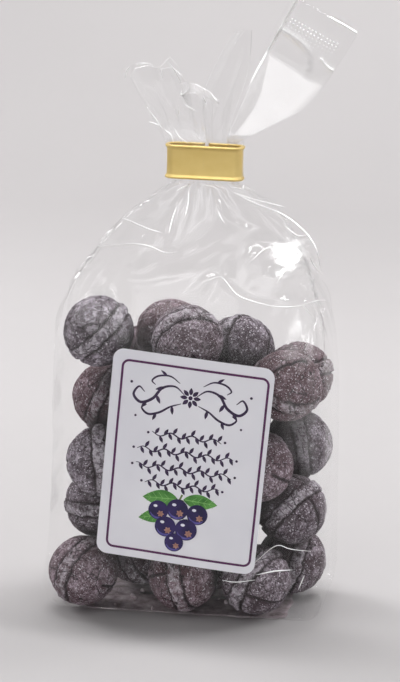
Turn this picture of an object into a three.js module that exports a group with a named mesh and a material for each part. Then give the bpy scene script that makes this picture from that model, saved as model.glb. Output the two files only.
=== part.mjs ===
// A clear film bag of boiled sweets, closed with a crimped metal clip and carrying a paper label.
//
// Millimetres, +Z up. The bag stands on its flat block bottom, whose middle is the origin.
// +X is to the right and -Y is the front, where the label is.
//
// Every piece is a closed solid: the film is a thin shell that is open at its mouth, the sweets
// lie loose inside it, the label lies on its front panel and the clip closes round its neck.

import * as THREE from "three";

// ---------------------------------------------------------------- driving dimensions

const SWEET_DIAMETER = 18.5;
const CLEARANCE = 0.3; // between any two pieces that lie against each other

const FILM_WALL = 0.4; // stands for 0.04 mm film, so that the shell has a real volume

const LABEL_WIDTH = 40;
const LABEL_HEIGHT = 54;
const LABEL_THICKNESS = 0.35;
const LABEL_CORNER = 2.8;
const LABEL_CENTRE = new THREE.Vector2(1.1, 44.6); // x and z on the front panel
const LABEL_TURN = THREE.MathUtils.degToRad(5.6); // clockwise, seen from the front

const CLIP_CENTRE = new THREE.Vector2(3.1, 118.2); // x and z of its middle
const CLIP_TURN = THREE.MathUtils.degToRad(1.1); // clockwise, seen from the front
const CLIP_WIDTH = 20.3;
const CLIP_DEPTH = 5.4;
const CLIP_HEIGHT = 9.6;
const CLIP_METAL = 0.6;
const CLIP_CORNER = 2.1;
const CLIP_LIP = 0.35; // how far the rolled edges stand out
const CLIP_SPLIT = 1.0; // gap between the two ends, behind the neck

// The film's outside at each height: half width, half depth and corner radius.
const NECK_HALF_DEPTH = CLIP_DEPTH / 2 - CLIP_METAL - CLEARANCE;
const BODY_SECTIONS = [
  { z: 0, x: 0, halfWidth: 34.0, halfDepth: 17.5, corner: 2.5 },
  { z: 2.5, x: -0.2, halfWidth: 36.0, halfDepth: 19.6, corner: 5.0 },
  { z: 8, x: -0.4, halfWidth: 37.2, halfDepth: 21.2, corner: 7.0 },
  { z: 20, x: 0.6, halfWidth: 36.2, halfDepth: 21.4, corner: 8.0 },
  { z: 42, x: 1.9, halfWidth: 35.2, halfDepth: 21.4, corner: 8.0 },
  { z: 62, x: 1.9, halfWidth: 35.2, halfDepth: 21.4, corner: 8.0 },
  { z: 74, x: 1.6, halfWidth: 35.2, halfDepth: 21.2, corner: 8.0 },
  { z: 81, x: 1.2, halfWidth: 35.0, halfDepth: 19.8, corner: 7.5 },
  { z: 87, x: 1.5, halfWidth: 33.8, halfDepth: 17.2, corner: 7.0 },
  { z: 92.5, x: 2.2, halfWidth: 31.4, halfDepth: 14.2, corner: 6.0 },
  { z: 97.5, x: 2.9, halfWidth: 27.8, halfDepth: 11.2, corner: 5.0 },
  { z: 102, x: 3.3, halfWidth: 23.2, halfDepth: 8.4, corner: 4.4 },
  { z: 106.5, x: 3.8, halfWidth: 17.9, halfDepth: 5.6, corner: 3.6 },
  { z: 110.3, x: 3.6, halfWidth: 12.6, halfDepth: 3.2, corner: 2.2 },
  { z: 113, x: CLIP_CENTRE.x, halfWidth: 8.9, halfDepth: NECK_HALF_DEPTH, corner: 1.6 },
  { z: 123.4, x: CLIP_CENTRE.x, halfWidth: 8.9, halfDepth: NECK_HALF_DEPTH, corner: 1.6 },
];

// The cut mouth above the clip, from its left end to its right end: share is the place across the
// neck, x and z are where the edge stands, and halfDepth is half the gap between front and back.
const MOUTH = [
  { share: -1.0, x: -17.2, z: 137.0, halfDepth: 1.8 },
  { share: -0.78, x: -15.0, z: 142.3, halfDepth: 5.4 },
  { share: -0.4, x: -6.2, z: 144.9, halfDepth: 6.2 },
  { share: -0.22, x: -2.2, z: 138.6, halfDepth: 4.6 },
  { share: -0.05, x: 2.6, z: 134.8, halfDepth: 2.2 },
  { share: 0.2, x: 9.3, z: 147.6, halfDepth: 2.0 },
  { share: 0.3, x: 13.6, z: 151.6, halfDepth: 2.0 },
  { share: 0.42, x: 16.2, z: 143.6, halfDepth: 1.9 },
  { share: 0.7, x: 27.2, z: 159.6, halfDepth: 1.6 },
  { share: 1.0, x: 42.0, z: 151.8, halfDepth: 1.3 },
];
const TAIL_LEVELS = 6;
const TAIL_SAG = { left: 1, right: 4 }; // how far the tail's side edges bow outwards and down

// Sweets that lie against the front of the bag or show past the label, as [x, y, z] of the middle.
const OUTER_SWEETS = [
  [-27.5, -10.7, 9.5],
  [-16.5, 7.5, 10],
  [-1, -10.7, 10],
  [18.5, -10.7, 10],
  [25.5, 6.5, 10.5],
  [-25.5, -1, 25],
  [25.5, 0, 26.5],
  [-22, -10.7, 40.5],
  [19, -10.7, 40.5],
  [26, 11, 41],
  [-23.5, 1, 53],
  [26, -10.7, 62.5],
  [25.5, 11, 59],
  [-23, -9.5, 74.5],
  [-6.5, 4.5, 71],
  [0.5, -10.7, 72.5],
  [12, 2.5, 67.5],
];

// Roughly where the others lie, behind the label and in the back layer. They give way to the outer
// ones when all of them settle.
const INNER_SWEETS = [
  [-10, -8, 26],
  [8.5, -8.5, 27],
  [-7.5, -10.7, 58],
  [14, -10.7, 58],
  [4, 10.5, 10],
  [-10, 10.5, 25],
  [11, 7, 29],
  [-20, 10.5, 39],
  [9, 2, 46],
  [-5, 9, 56],
  [9, 10.5, 62],
];

// The belt's axis of each outer sweet, in degrees: its turn from +X towards +Z as seen from the
// front, and its lean towards the viewer.
const OUTER_AXES = [
  [160, -28],
  [20, 10],
  [12, 4],
  [-30, 18],
  [-20, -10],
  [94, -4],
  [-42, 14],
  [4, -12],
  [-8, 42],
  [8, -16],
  [-24, 6],
  [62, 20],
  [110, -12],
  [132, 8],
  [120, 12],
  [118, -30],
  [10, 24],
];

// How the sweets settle: in each step overlapping ones give way, and all of them sink or return a
// little, less and less.
const OUTER_WEIGHT = 6; // an outer sweet gives way this many times less than an inner one
const OUTER_HOLD = 0.15; // share of the way back to its place in one step
const INNER_FALL = 0.02; // fall in one step
const SETTLING_STEPS = 1500;
const FINAL_STEPS = 1000;

// ---------------------------------------------------------------- small helpers

const lerp = THREE.MathUtils.lerp;

// Straight interpolation in a list of records sorted by key.
function sampleTable(table, key, value) {
  const next = Math.max(1, table.findIndex((row, i) => i > 0 && row[key] >= value));
  const above = table[value > table.at(-1)[key] ? table.length - 1 : next];
  const below = table[table.indexOf(above) - 1];
  const share = THREE.MathUtils.clamp((value - below[key]) / (above[key] - below[key]), 0, 1);
  return Object.fromEntries(Object.keys(above).map((k) => [k, lerp(below[k], above[k], share)]));
}

// A closed surface from vertices and triangles.
function meshGeometry(vertices, triangles) {
  const geometry = new THREE.BufferGeometry();
  geometry.setAttribute("position", new THREE.Float32BufferAttribute(vertices.flatMap((v) => [v.x, v.y, v.z]), 3));
  geometry.setIndex(triangles);
  geometry.computeVertexNormals();
  return geometry;
}

// Triangles between neighbouring rings of the same length, which run anticlockwise seen from above.
function skinRings(rings, firstVertex, facesOut) {
  const triangles = [];
  const count = rings[0].length;
  for (let level = 0; level + 1 < rings.length; level++) {
    for (let i = 0; i < count; i++) {
      const j = (i + 1) % count;
      const [a, b] = [firstVertex + level * count + i, firstVertex + level * count + j];
      const [c, d] = [a + count, b + count];
      triangles.push(...(facesOut ? [a, b, d, a, d, c] : [a, d, b, a, c, d]));
    }
  }
  return triangles;
}

// ---------------------------------------------------------------- rounded rectangles

const CORNER_STEPS = 4;
const LONG_SIDE_POINTS = 13; // between the corners, on the front and on the back

// A rounded rectangle in plan, anticlockwise from the left end of its front side. Every rectangle
// has the same number of points, so that rings of them can be skinned.
function roundedRing(halfWidth, halfDepth, corner) {
  const radius = Math.min(corner, halfWidth - 0.01, halfDepth - 0.01);
  const [flatX, flatY] = [halfWidth - radius, halfDepth - radius];
  const points = [];
  const longSide = (from, to, y) => {
    for (let i = 1; i <= LONG_SIDE_POINTS; i++) {
      points.push(new THREE.Vector2(lerp(from, to, i / (LONG_SIDE_POINTS + 1)), y));
    }
  };
  const cornerArc = (x, y, startAngle) => {
    for (let i = 0; i <= CORNER_STEPS; i++) {
      const angle = startAngle + (i / CORNER_STEPS) * (Math.PI / 2);
      points.push(new THREE.Vector2(x + radius * Math.cos(angle), y + radius * Math.sin(angle)));
    }
  };
  longSide(-flatX, flatX, -halfDepth);
  cornerArc(flatX, -flatY, -Math.PI / 2);
  cornerArc(flatX, flatY, 0);
  longSide(flatX, -flatX, halfDepth);
  cornerArc(-flatX, flatY, Math.PI / 2);
  cornerArc(-flatX, -flatY, Math.PI);
  return points;
}

// ---------------------------------------------------------------- the film bag

// One ring of the bag's body, moved inwards by inset.
function bodyRing(section, inset) {
  const ring = roundedRing(
    section.halfWidth - inset,
    section.halfDepth - inset,
    Math.max(section.corner - inset, 0.3),
  );
  return ring.map((p) => new THREE.Vector3(section.x + p.x, p.y, section.z));
}

// One ring of the gathered tail above the clip: rise is 0 at the neck and 1 at the cut mouth.
function tailRing(rise, inset) {
  const neck = BODY_SECTIONS.at(-1);
  const ring = roundedRing(neck.halfWidth, neck.halfDepth, neck.corner);
  return ring.map((p) => {
    const share = p.x / neck.halfWidth;
    const mouth = sampleTable(MOUTH, "share", share);
    const bow = Math.sin(Math.PI * rise);
    const side = share < 0 ? TAIL_SAG.left : TAIL_SAG.right;
    const sag = side * bow * share ** 2;
    const halfDepth = lerp(neck.halfDepth, mouth.halfDepth, Math.sqrt(rise));
    const endInset = inset * Math.sign(share) * Math.abs(share) ** 3;
    return new THREE.Vector3(
      lerp(neck.x + p.x, mouth.x, rise) + Math.sign(share) * sag - endInset,
      (p.y / neck.halfDepth) * (halfDepth - inset),
      lerp(neck.z, mouth.z, rise) - sag,
    );
  });
}

function filmGeometry() {
  const levels = (inset) => {
    const rings = BODY_SECTIONS.map((section) => bodyRing(section, inset));
    for (let i = 1; i <= TAIL_LEVELS; i++) rings.push(tailRing(i / TAIL_LEVELS, inset));
    return rings;
  };
  const outside = levels(0);
  const inside = levels(FILM_WALL);
  inside[0].forEach((p) => (p.z = FILM_WALL));

  const count = outside[0].length;
  const insideStart = outside.length * count;
  const vertices = [...outside.flat(), ...inside.flat()];
  const triangles = [...skinRings(outside, 0, true), ...skinRings(inside, insideStart, false)];

  const [lastOutside, lastInside] = [insideStart - count, vertices.length - count];
  const [baseCentre, floorCentre] = [vertices.length, vertices.length + 1];
  vertices.push(new THREE.Vector3(0, 0, 0), new THREE.Vector3(0, 0, FILM_WALL));
  for (let i = 0; i < count; i++) {
    const j = (i + 1) % count;
    triangles.push(baseCentre, j, i);
    triangles.push(floorCentre, insideStart + i, insideStart + j);
    triangles.push(lastOutside + i, lastOutside + j, lastInside + j);
    triangles.push(lastOutside + i, lastInside + j, lastInside + i);
  }
  return meshGeometry(vertices, triangles);
}

// ---------------------------------------------------------------- the clip

// The metal's section, as [outwards from the inner face, height]: a strip with rolled-out edges.
function clipSection() {
  const half = CLIP_HEIGHT / 2;
  const [shoulder, neck] = [half - 0.65, half - 1.0];
  const lip = CLIP_METAL + CLIP_LIP;
  return [
    [0, -half],
    [lip, -half],
    [lip, -shoulder],
    [CLIP_METAL, -neck],
    [CLIP_METAL, neck],
    [lip, shoulder],
    [lip, half],
    [0, half],
  ];
}

// A strip bent into a flat ring round the neck, whose two ends meet behind it.
function clipGeometry() {
  const inner = { halfWidth: CLIP_WIDTH / 2 - CLIP_METAL, halfDepth: CLIP_DEPTH / 2 - CLIP_METAL };
  const corner = CLIP_CORNER - CLIP_METAL;
  const section = clipSection();
  const outlines = section.map(([outwards]) =>
    roundedRing(inner.halfWidth + outwards, inner.halfDepth + outwards, corner + outwards),
  );
  // Start at the back's middle, left of the split, and run round the front to its right side.
  const count = outlines[0].length;
  const backMiddle = outlines[0].findIndex((p, i) => i > count / 4 && p.y > 0 && Math.abs(p.x) < 1e-6);
  const order = Array.from({ length: count - 1 }, (_, i) => (backMiddle + 1 + i) % count);
  const stations = [backMiddle, ...order, backMiddle];

  const vertices = [];
  stations.forEach((index, place) => {
    const shift = place === 0 ? -CLIP_SPLIT / 2 : place === stations.length - 1 ? CLIP_SPLIT / 2 : 0;
    section.forEach(([, height], k) => {
      const p = outlines[k][index];
      vertices.push(new THREE.Vector3(p.x + shift, p.y, height));
    });
  });

  const sides = section.length;
  const triangles = [];
  for (let place = 0; place + 1 < stations.length; place++) {
    for (let k = 0; k < sides; k++) {
      const next = (k + 1) % sides;
      const [a, b] = [place * sides + k, place * sides + next];
      const [c, d] = [a + sides, b + sides];
      triangles.push(a, c, d, a, d, b);
    }
  }
  const faces = THREE.ShapeUtils.triangulateShape(section.map(([x, y]) => new THREE.Vector2(x, y)), []);
  const lastStation = (stations.length - 1) * sides;
  for (const [a, b, c] of faces) {
    triangles.push(a, b, c);
    triangles.push(lastStation + a, lastStation + c, lastStation + b);
  }
  return meshGeometry(vertices, triangles);
}

// ---------------------------------------------------------------- the label

function labelGeometry() {
  const [w, h, r] = [LABEL_WIDTH / 2, LABEL_HEIGHT / 2, LABEL_CORNER];
  const outline = new THREE.Shape();
  outline.moveTo(-w + r, -h);
  outline.lineTo(w - r, -h).absarc(w - r, -h + r, r, -Math.PI / 2, 0, false);
  outline.lineTo(w, h - r).absarc(w - r, h - r, r, 0, Math.PI / 2, false);
  outline.lineTo(-w + r, h).absarc(-w + r, h - r, r, Math.PI / 2, Math.PI, false);
  outline.lineTo(-w, -h + r).absarc(-w + r, -h + r, r, Math.PI, 1.5 * Math.PI, false);
  return new THREE.ExtrudeGeometry(outline, { depth: LABEL_THICKNESS, bevelEnabled: false, curveSegments: 5 });
}

// ---------------------------------------------------------------- the sweets

// A ball pressed between two dies: a belt round its middle between two grooves. Its axis is Y.
function sweetGeometry() {
  const radius = SWEET_DIAMETER / 2;
  const grooveDepth = 0.75;
  const polarAngles = [0, 26, 48, 64, 73, 81, 90, 99, 107, 116, 132, 154, 180];
  const grooves = [73, 107];
  const profile = polarAngles.map((degrees) => {
    const reach = radius - (grooves.includes(degrees) ? grooveDepth : 0);
    const angle = THREE.MathUtils.degToRad(180 - degrees);
    const onAxis = degrees === 0 || degrees === 180;
    return new THREE.Vector2(onAxis ? 0 : reach * Math.sin(angle), reach * Math.cos(angle));
  });
  return new THREE.LatheGeometry(profile, 12);
}

// How far a sweet's middle at height z can be from the bag's middle line, in x and in y, with the
// whole ball inside the film: the ball is compared with the film at several of its own heights.
function roomAt(z) {
  const radius = SWEET_DIAMETER / 2;
  const rises = [-60, -30, 0, 20, 40, 60, 75, 88].map(THREE.MathUtils.degToRad);
  const rooms = rises.map((rise) => {
    const film = sampleTable(BODY_SECTIONS, "z", z + radius * Math.sin(rise));
    const taken = FILM_WALL + CLEARANCE + radius * Math.cos(rise);
    const reach = film.halfWidth - taken;
    return { left: film.x - reach, right: film.x + reach, depth: film.halfDepth - taken };
  });
  return {
    left: Math.max(...rooms.map((room) => room.left)),
    right: Math.min(...rooms.map((room) => room.right)),
    depth: Math.min(...rooms.map((room) => room.depth)),
  };
}

// Pushes overlapping sweets apart once, and brings all of them back inside the film.
function separate(places, rooms) {
  const reach = SWEET_DIAMETER + CLEARANCE;
  const lowest = SWEET_DIAMETER / 2 + FILM_WALL + CLEARANCE;
  const weight = (i) => (i < OUTER_SWEETS.length ? OUTER_WEIGHT : 1);
  for (let i = 0; i < places.length; i++) {
    for (let j = i + 1; j < places.length; j++) {
      const apart = places[i].clone().sub(places[j]);
      const overlap = reach - apart.length();
      if (overlap <= 0) continue;
      const share = weight(j) / (weight(i) + weight(j));
      apart.setLength(0.6 * overlap + 1e-4);
      places[i].addScaledVector(apart, share);
      places[j].addScaledVector(apart, share - 1);
    }
  }
  for (const p of places) {
    const room = rooms[Math.round(THREE.MathUtils.clamp(p.z, 0, rooms.length - 1))];
    p.x = THREE.MathUtils.clamp(p.x, room.left, room.right);
    p.y = THREE.MathUtils.clamp(p.y, -room.depth, room.depth);
    p.z = Math.max(p.z, lowest);
  }
}

// Where the sweets lie in the end.
function settleSweets() {
  const rooms = Array.from({ length: 91 }, (_, z) => roomAt(z)); // one for each millimetre of height
  const homes = [...OUTER_SWEETS, ...INNER_SWEETS].map(([x, y, z]) => new THREE.Vector3(x, y, z));
  const places = homes.map((home) => home.clone());
  for (let step = 0; step < SETTLING_STEPS; step++) {
    const calm = 1 - step / SETTLING_STEPS;
    places.forEach((p, i) => {
      if (i < OUTER_SWEETS.length) p.lerp(homes[i], OUTER_HOLD * calm);
      else p.z -= INNER_FALL * calm;
    });
    separate(places, rooms);
  }
  for (let step = 0; step < FINAL_STEPS; step++) separate(places, rooms);
  return places;
}

// How each sweet is turned: its belt's axis as a direction.
function sweetAxis(index) {
  const goldenAngle = 137.5;
  const [turn, lean] = OUTER_AXES[index] ?? [index * goldenAngle, 70 * Math.sin(index * 2.4)];
  const [a, b] = [turn, lean].map(THREE.MathUtils.degToRad);
  return new THREE.Vector3(Math.cos(a) * Math.cos(b), -Math.sin(b), Math.sin(a) * Math.cos(b));
}

// ---------------------------------------------------------------- the assembly

const filmMaterial = new THREE.MeshStandardMaterial({
  color: 0xe9ebee,
  roughness: 0.08,
  metalness: 0,
  transparent: true,
  opacity: 0.3,
  side: THREE.DoubleSide,
});
const clipMaterial = new THREE.MeshStandardMaterial({ color: 0xc9a748, roughness: 0.32, metalness: 0.85 });
const labelMaterial = new THREE.MeshStandardMaterial({ color: 0xd9dae2, roughness: 0.5, metalness: 0 });
const sweetMaterial = new THREE.MeshStandardMaterial({ color: 0x5e5358, roughness: 0.85, metalness: 0 });

function named(name, geometry, material) {
  const mesh = new THREE.Mesh(geometry, material);
  mesh.name = name;
  return mesh;
}

const bag = new THREE.Group();
bag.add(named("film_bag", filmGeometry(), filmMaterial));

const clip = named("neck_clip", clipGeometry(), clipMaterial);
clip.rotation.y = CLIP_TURN;
clip.position.set(CLIP_CENTRE.x, 0, CLIP_CENTRE.y);
bag.add(clip);

const label = named("front_label", labelGeometry(), labelMaterial);
label.rotation.set(Math.PI / 2, LABEL_TURN, 0, "YXZ");
label.position.set(LABEL_CENTRE.x, -BODY_SECTIONS[4].halfDepth - CLEARANCE, LABEL_CENTRE.y);
bag.add(label);

const uprightAxis = new THREE.Vector3(0, 1, 0);
settleSweets().forEach((place, index) => {
  const number = String(index + 1).padStart(2, "0");
  const sweet = named(`sweet_${number}`, sweetGeometry(), sweetMaterial);
  sweet.position.copy(place);
  sweet.quaternion.setFromUnitVectors(uprightAxis, sweetAxis(index));
  bag.add(sweet);
});

export default bag;
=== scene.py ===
"""A clear film bag of sugar-dusted boiled sweets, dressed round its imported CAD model.

Everything is worked out in millimetres and turned into metres when a mesh is made.
+Z is up, +X is to the right and -Y is the front, where the label is.
"""

import math

import bmesh
import bpy
import numpy as np
from mathutils import Matrix, Vector


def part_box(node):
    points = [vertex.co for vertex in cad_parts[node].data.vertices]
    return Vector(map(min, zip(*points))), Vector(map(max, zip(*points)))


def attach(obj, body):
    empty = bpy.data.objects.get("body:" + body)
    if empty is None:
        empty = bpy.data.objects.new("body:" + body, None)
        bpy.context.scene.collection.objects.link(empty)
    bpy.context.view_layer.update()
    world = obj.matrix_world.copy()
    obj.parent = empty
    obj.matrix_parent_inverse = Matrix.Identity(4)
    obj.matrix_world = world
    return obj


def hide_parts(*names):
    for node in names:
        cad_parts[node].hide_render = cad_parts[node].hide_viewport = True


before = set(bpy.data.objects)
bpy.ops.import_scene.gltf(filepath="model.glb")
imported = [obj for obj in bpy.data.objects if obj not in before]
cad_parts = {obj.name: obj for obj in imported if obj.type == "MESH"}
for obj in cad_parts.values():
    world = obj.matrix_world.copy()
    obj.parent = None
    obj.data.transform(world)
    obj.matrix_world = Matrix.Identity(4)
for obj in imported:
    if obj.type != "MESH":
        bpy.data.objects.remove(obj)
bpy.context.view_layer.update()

MM = 0.001
SWEET_RADIUS = 9.25


def node_middle(node):
    """The middle of a CAD node's box."""
    low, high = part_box(node)
    return (np.array(low) / MM + np.array(high) / MM) / 2


SWEET_NODES = sorted(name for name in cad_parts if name.startswith("sweet_"))
SWEET_CENTRES = np.array([node_middle(name) for name in SWEET_NODES])

# ------------------------------------------------------------------ meshes


def make_mesh(name, vertices, faces, smooth=True):
    mesh = bpy.data.meshes.new(name)
    mesh.from_pydata((np.asarray(vertices) * MM).tolist(), [], [list(map(int, face)) for face in faces])
    mesh.polygons.foreach_set("use_smooth", [smooth] * len(mesh.polygons))
    mesh.update()
    piece = bpy.data.objects.new(name, mesh)
    bpy.context.scene.collection.objects.link(piece)
    return piece


def dress(piece, material, node=None):
    """Gives a piece its material and its body, and hides the CAD node that it is seen in place of."""
    piece.data.materials.append(material)
    if node:
        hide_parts(node)
    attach(piece, "root")


def set_looks(piece, **looks):
    """Stores numbers for each vertex, which the piece's material reads by name."""
    for name, values in looks.items():
        values = np.broadcast_to(values, len(piece.data.vertices)).astype(np.float32)
        piece.data.attributes.new(name, "FLOAT", "POINT").data.foreach_set("value", values)


def grid_faces(rows, columns, closed):
    """Quads of a grid whose vertices run along its rows. A closed grid joins its last column to its first."""
    last = columns if closed else columns - 1
    row, column = np.meshgrid(np.arange(rows - 1), np.arange(last), indexing="ij")
    beside = (column + 1) % columns
    a, b = row * columns + column, row * columns + beside
    return np.stack([a, b, b + columns, a + columns], -1).reshape(-1, 4)


class Patches:
    """Points and faces of one mesh, gathered part by part."""

    def __init__(self):
        self.points, self.faces = [], []

    def add(self, points, faces):
        base = sum(len(block) for block in self.points)
        points = np.asarray(points, float)
        self.points.append(points.reshape(-1, points.shape[-1]))
        self.faces += [[base + int(corner) for corner in face] for face in faces]

    def add_grid(self, grid, closed=True):
        self.add(grid, grid_faces(*grid.shape[:2], closed))

    def all_points(self):
        return np.concatenate(self.points)


# ------------------------------------------------------------------ shapes of lines and surfaces


def unit(vectors):
    """The same vectors at length one."""
    return vectors / (np.linalg.norm(vectors, axis=-1, keepdims=True) + 1e-9)


def on_circle(angle):
    return np.array([math.cos(angle), math.sin(angle)])


def smooth_step(low, high, value):
    share = np.clip((value - low) / (high - low), 0, 1)
    return share * share * (3 - 2 * share)


def fading(count, fade_in, fade_out):
    """From 0 to 1 and back along a line: the shares of its length at which it starts, is full and ends."""
    share = np.linspace(0, 1, count)
    return smooth_step(*fade_in, share) * (1 - smooth_step(*fade_out, share))


def through(controls, at):
    """Places on the smooth Catmull-Rom curve through control points, at counts along them such as 2.5."""
    padded = np.concatenate([2 * controls[:1] - controls[1:2], controls, 2 * controls[-1:] - controls[-2:-1]])
    k = np.minimum(np.floor(at).astype(int), len(controls) - 2)
    t = (at - k).reshape(-1, *[1] * (controls.ndim - 1))
    a, b, c, d = (padded[k + shift] for shift in range(4))
    return (2 * b + (c - a) * t + (2 * a - 5 * b + 4 * c - d) * t**2 + (3 * b - a - 3 * c + d) * t**3) / 2


def curve_points(controls, steps=12):
    """A smooth curve through control points."""
    spans = len(controls) - 1
    return through(np.asarray(controls, float), np.linspace(0, spans, spans * steps + 1))


def spread(rows, count):
    """Rows of control points turned into a smooth grid."""
    controls = np.asarray(rows, float)
    for number in count:
        smooth = through(controls, np.linspace(0, len(controls) - 1, number))
        controls = smooth.transpose(1, 0, 2)
    return controls


def grid_normals(grid):
    return unit(np.cross(np.gradient(grid, axis=1), np.gradient(grid, axis=0)))


# ------------------------------------------------------------------ noise


def hash_lattice(cells, seed):
    """A repeatable number from 0 to 1 for each integer cell, from products with large odd numbers."""
    x, y, z = (cells[..., k].astype(np.uint64) for k in range(3))
    mixed = x * np.uint64(73856093) ^ y * np.uint64(19349663) ^ z * np.uint64(83492791)
    mixed ^= np.uint64(seed * 2654435761 % 2**32)
    mixed = (mixed ^ (mixed >> np.uint64(13))) * np.uint64(1274126177)
    mixed = (mixed ^ (mixed >> np.uint64(16))) & np.uint64(0xFFFFFF)
    return mixed.astype(float) / 0xFFFFFF


def value_noise(points, size, seed):
    """Smooth noise from -1 to 1 whose lumps are about size millimetres across."""
    scaled = np.asarray(points) / size + 1000.0
    cell = np.floor(scaled).astype(np.int64)
    part = smooth_step(0, 1, scaled - cell)
    total = 0.0
    for corner in np.ndindex(2, 2, 2):
        weight = np.prod(np.where(np.array(corner) == 1, part, 1 - part), -1)
        total = total + weight * hash_lattice(cell + np.array(corner), seed)
    return 2 * total - 1


def layered_noise(points, size, seed, layers=3):
    """Noise with finer and weaker layers on top, each half the size of the one before."""
    total = sum(value_noise(points, size / 2**k, seed + k) / 2**k for k in range(layers))
    return total / sum(1 / 2**k for k in range(layers))


# ------------------------------------------------------------------ materials


class Look:
    """A node material as it is put together."""

    def __init__(self, name):
        self.material = bpy.data.materials.new(name)
        self.material.use_nodes = True
        self.tree = self.material.node_tree
        self.tree.nodes.clear()
        self.place = self.node("TexCoord").outputs["Object"]

    def node(self, kind, inputs=None, **settings):
        """A node with its settings and inputs. An input is another node's output, a number or a colour."""
        node = self.tree.nodes.new("ShaderNode" + kind)
        for key, value in settings.items():
            setattr(node, key, value)
        for key, value in (inputs or {}).items():
            if isinstance(value, bpy.types.NodeSocket):
                self.tree.links.new(value, node.inputs[key])
            else:
                node.inputs[key].default_value = (*value, 1.0) if isinstance(value, tuple) else value
        return node

    def noise(self, scale, detail=3.0, roughness=0.5):
        inputs = {"Vector": self.place, "Scale": scale, "Detail": detail, "Roughness": roughness}
        return self.node("TexNoise", inputs).outputs["Fac"]

    def attribute(self, name):
        return self.node("Attribute", attribute_name=name).outputs["Fac"]

    def ramp(self, source, *stops):
        """A source turned into colours by (position, colour) stops. A number stands for a grey."""
        node = self.node("ValToRGB", {"Fac": source})
        elements = node.color_ramp.elements
        while len(elements) < len(stops):
            elements.new(0.5)
        for element, (position, colour) in zip(elements, stops):
            element.position = position
            element.color = (*(colour if isinstance(colour, tuple) else (colour,) * 3), 1.0)
        return node.outputs["Color"]

    def mix(self, factor, first, second, blend="MIX"):
        inputs = {0: factor, 6: first, 7: second}
        return self.node("Mix", inputs, data_type="RGBA", blend_type=blend).outputs[2]

    def both(self, first, second):
        """One colour or share times another."""
        return self.mix(1.0, first, second, "MULTIPLY")

    def bump(self, height, strength, distance, **below):
        inputs = {"Height": height, "Strength": strength, "Distance": distance, **below}
        return self.node("Bump", inputs).outputs["Normal"]

    def finish(self, shader):
        output = self.node("OutputMaterial")
        self.tree.links.new(shader.outputs[0], output.inputs["Surface"])
        return self.material

    def opaque(self, colour, roughness, specular=0.5, **others):
        inputs = {"Base Color": colour, "Roughness": roughness, "Specular IOR Level": specular, **others}
        return self.finish(self.node("BsdfPrincipled", inputs))


# ------------------------------------------------------------------ the camera and the studio

CAMERA_AZIMUTH, CAMERA_ELEVATION = math.radians(10), math.radians(14)
CAMERA_DISTANCE = 650
CAMERA_AIM = (2.0, -1.0, 70.8)
CAMERA_LENS, CAMERA_SENSOR = 132.4, 36
# Floor tones, from painted shade near the object to painted light where the backdrop curves up at the back
FLOOR_NEAR_PAINTED_SHADE, FLOOR_FAR = (0.478, 0.462, 0.466), (0.488, 0.470, 0.474)
BACKDROP_PAINTED_LIGHT = (0.67, 0.648, 0.653)
BAG_MIDDLE = (0, 0, 70)


def stand(thing, place, target):
    """Puts a camera or a light at a place and turns it upright towards a target."""
    place, target = Vector(place), Vector(target)
    turned = (target - place).to_track_quat("-Z", "Y").to_matrix().to_4x4()
    thing.matrix_world = Matrix.Translation(place * MM) @ turned
    bpy.context.scene.collection.objects.link(thing)


def make_camera():
    data = bpy.data.cameras.new("camera")
    data.lens, data.sensor_width = CAMERA_LENS, CAMERA_SENSOR
    data.clip_start, data.clip_end = 0.01, 20
    camera = bpy.data.objects.new("camera", data)
    level = CAMERA_DISTANCE * math.cos(CAMERA_ELEVATION)
    away = (
        level * math.sin(CAMERA_AZIMUTH),
        -level * math.cos(CAMERA_AZIMUTH),
        CAMERA_DISTANCE * math.sin(CAMERA_ELEVATION),
    )
    stand(camera, Vector(CAMERA_AIM) + Vector(away), CAMERA_AIM)
    bpy.context.scene.camera = camera


def floor_material():
    """Pale paper with painted light and shade: a little darker under and in front of the object than behind
    it, and lighter where it curves up at the back.
    """
    look = Look("studio_paper")
    depth = look.node("SeparateXYZ", {"Vector": look.place}).outputs["Y"]
    near_to_far = look.node("MapRange", {"Value": depth, "From Min": -0.1, "From Max": 0.9}).outputs["Result"]
    # painted shade near the object and painted light at the top of the backdrop
    tone = look.ramp(near_to_far, (0.0, FLOOR_NEAR_PAINTED_SHADE), (0.6, FLOOR_FAR), (1.0, BACKDROP_PAINTED_LIGHT))
    mottle = look.ramp(look.noise(6.0, 4.0), (0.3, 0.97), (0.7, 1.0))
    return look.opaque(look.both(tone, mottle), 0.75, 0.2)


def make_backdrop():
    """A sheet of pale paper that curves up behind the object."""
    half_width, front, bend_start, bend_radius, top = 1500, -1200, 420, 500, 1600
    bend_steps = 16
    profile = [(front, 0.0), (bend_start, 0.0)]
    for angle in np.linspace(0, math.pi / 2, bend_steps + 1)[1:]:
        profile.append((bend_start + bend_radius * math.sin(angle), bend_radius * (1 - math.cos(angle))))
    profile.append((bend_start + bend_radius, top))
    vertices = [(x, y, z) for y, z in profile for x in (half_width, -half_width)]
    backdrop = make_mesh("backdrop", vertices, grid_faces(len(profile), 2, False))
    backdrop.data.materials.append(floor_material())


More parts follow.
